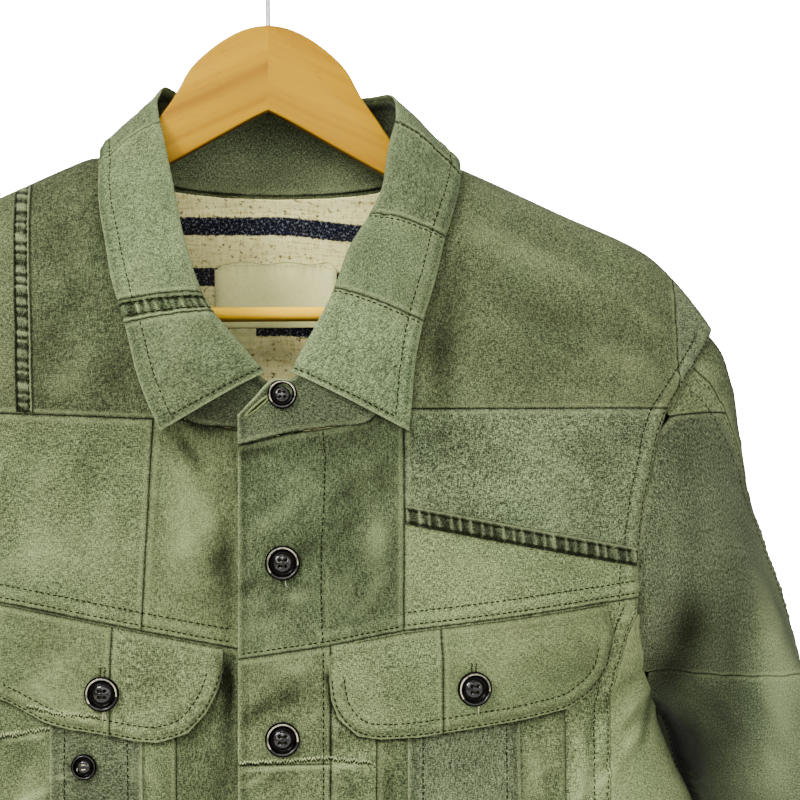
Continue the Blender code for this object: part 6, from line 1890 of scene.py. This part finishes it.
def make_stitches():
    sewn("stitches_front", front_rows())
    sewn("stitches_ragged", frayed_rows(0.0) + buttonhole_rows(), radius=0.9)
    sewn("frayed_edges", frayed_rows(FRAY_RISE), FRAY_THREAD, 1.1)
    sewn("stitches_collar", collar_rows())
    make_buttonhole()
    sewn("stitches_back", back_rows())
    sewn("stitches_sleeves", sleeve_rows())
    sewn("stitches_label", label_rows(), PALE_THREAD, 0.7)
    flap = 3 * STACK
    strands("thread_ends", (
        (0.1008, -0.4328, 0.0052, 0.0007, flap), (0.1016, -0.4326, 0.0036, -0.0006, flap),
        (-0.0872, -0.4340, 0.0048, 0.0006, flap), (-0.0880, -0.4338, 0.0060, -0.0004, flap),
        (0.0030, -0.3682, 0.0040, 0.0010, STACK), (-0.1010, -0.4640, 0.0016, 0.0002, 2 * STACK + 0.0030),
    ))


# ---------------------------------------------------------------- buttons
# the ring part carries the rim's painted highlight
HORN_PART, RING_PART, DOME_PART = 0, 1, 2
# share of the radius, share of the height, part
BUTTON_PROFILE = (
    (0.00, 0.80, 2), (0.06, 0.80, 2), (0.12, 0.80, 2), (0.18, 0.79, 2), (0.24, 0.78, 2), (0.30, 0.76, 2),
    (0.36, 0.73, 2), (0.43, 0.67, 2), (0.49, 0.57, 2), (0.54, 0.44, 2), (0.58, 0.36, 0), (0.63, 0.36, 0),
    (0.67, 0.42, 0), (0.72, 0.56, 0), (0.77, 0.78, 0), (0.815, 0.94, 0), (0.85, 0.99, 1), (0.895, 0.96, 1),
    (0.94, 0.86, 0), (0.97, 0.76, 0), (1.00, 0.66, 0), (1.00, 0.30, 0), (0.80, 0.00, 0), (0.00, 0.00, 0),
)
BUTTON_STEPS, HOLE_PLACE, HOLE_RADIUS, HOLE_DEPTH = 48, 0.175, 0.085, 0.0011
# the side of the rim that takes the painted highlight, facing up
BUTTON_LIT_SIDE = np.array((-0.25, 0.95, 0.0))


def button_points(radius):
    """Rings of points from the middle out and round to the back, then the middles of front and back."""
    turns = np.arange(BUTTON_STEPS) * 2 * np.pi / BUTTON_STEPS
    points = []
    for share, height, _ in BUTTON_PROFILE[1:-1]:
        across, up = share * np.cos(turns), share * np.sin(turns)
        away = np.hypot(np.abs(across) - HOLE_PLACE, np.abs(up) - HOLE_PLACE)
        hole = HOLE_DEPTH * np.exp(-((away / HOLE_RADIUS) ** 4)) if share < 0.5 else 0.0
        level_z = np.full(turns.shape, height * BUTTON_HEIGHT) - hole
        points.append(np.stack([across * radius, up * radius, level_z], axis=-1))
    return np.concatenate([*points, [[0, 0, BUTTON_PROFILE[0][1] * BUTTON_HEIGHT], [0, 0, 0]]])


def button_faces(points, radius, lit_ring):
    """Faces with their materials; the ring is a painted highlight, and shows only on the upper side of the
    rim, and only if lit_ring.
    """
    front, back = len(points) - 2, len(points) - 1
    last = (len(BUTTON_PROFILE) - 3) * BUTTON_STEPS
    faces, finishes = [], []
    for k in range(BUTTON_STEPS):
        after = (k + 1) % BUTTON_STEPS
        faces.append((front, k, after))
        finishes.append(DOME_PART)
        for row, (share, _, finish) in enumerate(BUTTON_PROFILE[2:-1]):
            inner, outer = row * BUTTON_STEPS, (row + 1) * BUTTON_STEPS
            face = (inner + k, outer + k, outer + after, inner + after)
            middle = points[list(face)].mean(axis=0) / radius
            away = math.hypot(abs(middle[0]) - HOLE_PLACE, abs(middle[1]) - HOLE_PLACE)
            if share < 0.4 and away < HOLE_RADIUS:
                finish = HORN_PART
            elif finish == RING_PART and not (lit_ring and middle @ BUTTON_LIT_SIDE > -0.35):
                finish = DOME_PART
            faces.append(face)
            finishes.append(finish)
        faces.append((back, last + after, last + k))
        finishes.append(HORN_PART)
    return faces, finishes


def make_button(name):
    """A four-hole horn button on its seat, and the two threads that hold it."""
    x, z, lift, radius = BUTTONS[name]
    on_front = name != "button_pocket_right"
    seat, normal = (value[0] for value in on_body(np.array([x]), np.array([z]), -1, lift + BUTTON_SEAT))
    turned = np.array(Vector(normal).to_track_quat("Z", "Y").to_matrix())
    points = button_points(radius)
    faces, finishes = button_faces(points, radius, on_front)
    made = listed_object(name, points @ turned.T + seat, faces, HORN)
    for finish in (RIM_HIGHLIGHT, DOME):
        made.data.materials.append(finish)
    made.data.polygons.foreach_set("material_index", finishes)
    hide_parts(name)
    lines = []
    t = np.linspace(-1, 1, 5)
    for side in (-1, 1):
        for shift in (-0.018, 0.018):
            across = np.full(5, (side * HOLE_PLACE + shift) * radius)
            up = 0.79 * BUTTON_HEIGHT + 0.0002 - 0.0007 * t**4
            lines.append(np.stack([t * (HOLE_PLACE + 0.02) * radius, across, up], axis=-1) @ turned.T + seat)
    finish, width = (DARK_THREAD, 0.00022) if on_front else (PALE_THREAD, 0.00013)
    ups = np.tile(normal, (len(lines), len(t), 1))
    tubes(f"thread_{name}", np.array(lines), ups, np.full(len(t), width), finish)


def listed_object(name, vertices, faces, finish):
    """An object from points and a list of faces of any size."""
    mesh = bpy.data.meshes.new(name)
    mesh.from_pydata([tuple(map(float, v)) for v in vertices], [], faces)
    return rooted(mesh, finish)


# ---------------------------------------------------------------- hanger
GRAIN_SLOPE, SHARP_ANGLE = math.radians(25), math.radians(50)
MITRE_GAP = 0.00001


def grain_places(points):
    """Coordinates of the wood: along each arm, across it, and through it."""
    x, y, z = np.abs(points[:, 0]), points[:, 1], points[:, 2]
    along = x * math.cos(GRAIN_SLOPE) - z * math.sin(GRAIN_SLOPE)
    across = x * math.sin(GRAIN_SLOPE) + z * math.cos(GRAIN_SLOPE)
    return np.stack([along + np.where(points[:, 0] < 0, 0.7, 0.0), across, y], axis=-1)


def make_hanger_frame():
    """Two shaped arms that meet in a mitre under the hook."""
    outline = np.array(HANGER_OUTLINE)
    smooth = between(outline, np.linspace(0, len(outline) - 1, 6 * len(outline)))
    smooth[:, 0] = np.maximum(smooth[:, 0], MITRE_GAP)
    count = len(smooth)
    vertices, faces = [], []
    for side in (1, -1):
        start = len(vertices)
        for y in (-HANGER_HALF_THICKNESS, HANGER_HALF_THICKNESS):
            vertices += [(side * x, y, z) for x, z in smooth]
        ring = list(range(start, start + count))
        walls = [(a, b, b + count, a + count) for a, b in zip(ring, ring[1:] + ring[:1])]
        ends = [tuple(reversed(ring)), tuple(k + count for k in ring)]
        found = walls + ends
        faces += found if side > 0 else [tuple(reversed(face)) for face in found]
    made = listed_object("hanger_arms", vertices, faces, WOOD)
    weights = []
    for edge in made.data.edges:
        first, last = (made.data.vertices[k].co for k in edge.vertices)
        in_mitre = abs(first.x) < 2 * MITRE_GAP and abs(last.x) < 2 * MITRE_GAP
        through = abs(first.y - last.y) > 0.001
        weights.append(0.0 if in_mitre or through else 1.0)
    made.data.attributes.new("bevel_weight_edge", "FLOAT", "EDGE").data.foreach_set("value", weights)
    bevel = made.modifiers.new("rounding", "BEVEL")
    bevel.width = HANGER_ROUND
    bevel.segments = 5
    bevel.limit_method = "WEIGHT"
    bevel.use_clamp_overlap = True
    bpy.context.view_layer.update()
    rounded = bpy.data.meshes.new_from_object(made.evaluated_get(bpy.context.evaluated_depsgraph_get()))
    made.modifiers.clear()
    made.data = rounded
    rounded.shade_smooth()
    rounded.set_sharp_from_angle(angle=SHARP_ANGLE)
    attribute(made, "cut", grain_places(places_of(made)))
    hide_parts("hanger_frame")


def rod(name, route, radii, sides, finish, node):
    """A round rod along a route, with closed ends."""
    route = np.array(route, float)
    way = unit(np.gradient(route, axis=0))
    up = np.tile((0.0, 1.0, 0.0), (len(route), 1))
    across = unit(np.cross(way, up))
    up = np.cross(across, way)
    turns = np.arange(sides) * 2 * np.pi / sides
    rings = route[:, None] + np.asarray(radii)[:, None, None] * (
        np.cos(turns)[None, :, None] * across[:, None] + np.sin(turns)[None, :, None] * up[:, None]
    )
    faces = [tuple(range(sides)), tuple(reversed(range((len(route) - 1) * sides, len(route) * sides)))]
    for i in range(len(route) - 1):
        for k in range(sides):
            a, b = i * sides + k, i * sides + (k + 1) % sides
            faces.append((a, a + sides, b + sides, b))
    made = listed_object(name, rings.reshape(-1, 3), faces, finish)
    made.data.set_sharp_from_angle(angle=SHARP_ANGLE)
    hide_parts(node)
    return made


def make_hanger():
    make_hanger_frame()
    span = BAR_HALF_LENGTH
    x = np.array([-span, -span + 0.0004, *np.linspace(-span + 0.002, span - 0.002, 60), span - 0.0004, span])
    sway = 0.0003 * np.sin(x * 31)
    radii = BAR_RADIUS * np.array([0.86, 0.97, *np.ones(60), 0.97, 0.86])
    route = np.stack([x, 0 * x, BAR_Z + sway], axis=-1)
    bar = rod("hanger_dowel", route, radii, 32, LIT_BAR_WOOD, "hanger_bar")
    points = places_of(bar)
    attribute(bar, "cut", np.stack([points[:, 0] + 2.0, points[:, 2], points[:, 1]], axis=-1))
    wire = HOOK_RADIUS + HOOK_WIRE
    angles = np.radians(np.linspace(*HOOK_ARC, 70))
    arch = np.stack([wire * np.cos(angles), 0 * angles, -HOOK_RADIUS + wire * np.sin(angles)], axis=-1)
    shank = np.array([(x, 0.0, z) for x, z in HOOK_SHANK])
    bend = between(np.concatenate([arch[-2:], shank]), np.linspace(1, len(shank) + 1, 40))[1:]
    route = np.concatenate([arch, bend])
    radii = np.full(len(route), HOOK_WIRE)
    radii[:3] = HOOK_WIRE * np.array((0.45, 0.85, 1.0))
    rod("hook_wire", route, radii, 16, STEEL, "hanger_hook")


# ---------------------------------------------------------------- stage, light and camera
FLOOR_Z, FLOOR_RADIUS, SPHERE_RADIUS = -0.870, 1.6, 6
TARGET, CAMERA_AZIMUTH, CAMERA_DISTANCE, LENS = (0.0666, -0.0800, -0.2768), math.radians(-3.5), 1.25, 110.3
LIGHTS = (
    # place, aim, size, watts
    ((-1.70, -2.00, 1.30), (0.05, -0.05, -0.30), 0.90, 150.0),
    ((1.30, -1.60, -0.10), (0.10, 0.0, -0.35), 1.4, 14.0),
    ((-0.15, -2.00, 0.15), (0.0, 0.0, -0.22), 0.8, 22.0),
    ((-0.10, -0.35, 1.10), (0.05, 0.0, -0.30), 0.9, 16.0),
    ((0.30, 1.70, 0.50), (0.0, 0.0, -0.40), 1.4, 26.0),
)
BACKDROP_GLOW, AMBIENT = 40.0, 0.42


def stage_material(name, grey, emission=0.0):
    made = bpy.data.materials.new(name)
    made.use_nodes = True
    shader = made.node_tree.nodes["Principled BSDF"]
    shader.inputs["Base Color"].default_value = (grey, grey, grey, 1)
    shader.inputs["Roughness"].default_value = 0.9
    shader.inputs["Emission Color"].default_value = (1, 1, 1, 1)
    shader.inputs["Emission Strength"].default_value = emission
    return made


def stage_object(name, points, faces, finish):
    mesh = bpy.data.meshes.new(name)
    mesh.from_pydata(points, [], faces)
    mesh.materials.append(finish)
    made = bpy.data.objects.new(name, mesh)
    bpy.context.scene.collection.objects.link(made)
    return made


def make_stage():
    """A round pale floor in a glowing sphere that only the camera sees, and soft area lights."""
    ring = [
        (FLOOR_RADIUS * math.cos(a), FLOOR_RADIUS * math.sin(a), FLOOR_Z)
        for a in np.linspace(0, 2 * math.pi, 97)[:-1]
    ]
    stage_object("floor", ring, [tuple(range(96))], stage_material("floor", 0.88))
    rows, columns = 24, 64
    places = [
        (SPHERE_RADIUS * math.cos(b) * math.cos(a), SPHERE_RADIUS * math.cos(b) * math.sin(a),
         SPHERE_RADIUS * math.sin(b))
        for b in np.linspace(-0.5 * math.pi + 0.01, 0.5 * math.pi - 0.01, rows)
        for a in np.linspace(0, 2 * math.pi, columns + 1)[:-1]
    ]
    quads = [
        (row + j, row + (j + 1) % columns, row + columns + (j + 1) % columns, row + columns + j)
        for row in range(0, (rows - 1) * columns, columns) for j in range(columns)
    ]
    backdrop = stage_object("backdrop", places, quads, stage_material("backdrop", 0.9, BACKDROP_GLOW))
    for ray in ("diffuse", "glossy", "shadow", "transmission"):
        setattr(backdrop, f"visible_{ray}", False)
    world = bpy.data.worlds.new("studio")
    world.use_nodes = True
    world.node_tree.nodes["Background"].inputs["Color"].default_value = (1, 1, 1, 1)
    world.node_tree.nodes["Background"].inputs["Strength"].default_value = AMBIENT
    bpy.context.scene.world = world
    for k, (place, aim, size, watts) in enumerate(LIGHTS):
        lamp = bpy.data.lights.new(f"soft_light_{k + 1}", "AREA")
        lamp.size, lamp.energy = size, watts
        made = bpy.data.objects.new(lamp.name, lamp)
        made.location = place
        made.rotation_euler = (Vector(aim) - Vector(place)).to_track_quat("-Z", "Y").to_euler()
        made.visible_camera = False
        bpy.context.scene.collection.objects.link(made)


def make_camera():
    """The photo's view: from a little to the wearer's right, level with the chest."""
    data = bpy.data.cameras.new("camera")
    data.sensor_width, data.lens = 36.0, LENS
    camera = bpy.data.objects.new("camera", data)
    away = Vector((math.sin(CAMERA_AZIMUTH), -math.cos(CAMERA_AZIMUTH), 0)) * CAMERA_DISTANCE
    camera.location = Vector(TARGET) + away
    camera.rotation_euler = (-away).to_track_quat("-Z", "Y").to_euler()
    bpy.context.scene.collection.objects.link(camera)
    bpy.context.scene.camera = camera


make_camera()
make_stage()
make_fronts()
make_back()
make_collar()
make_sleeves()
for button in BUTTONS:
    make_button(button)
make_stitches()
make_hanger()

bpy.context.view_layer.update()
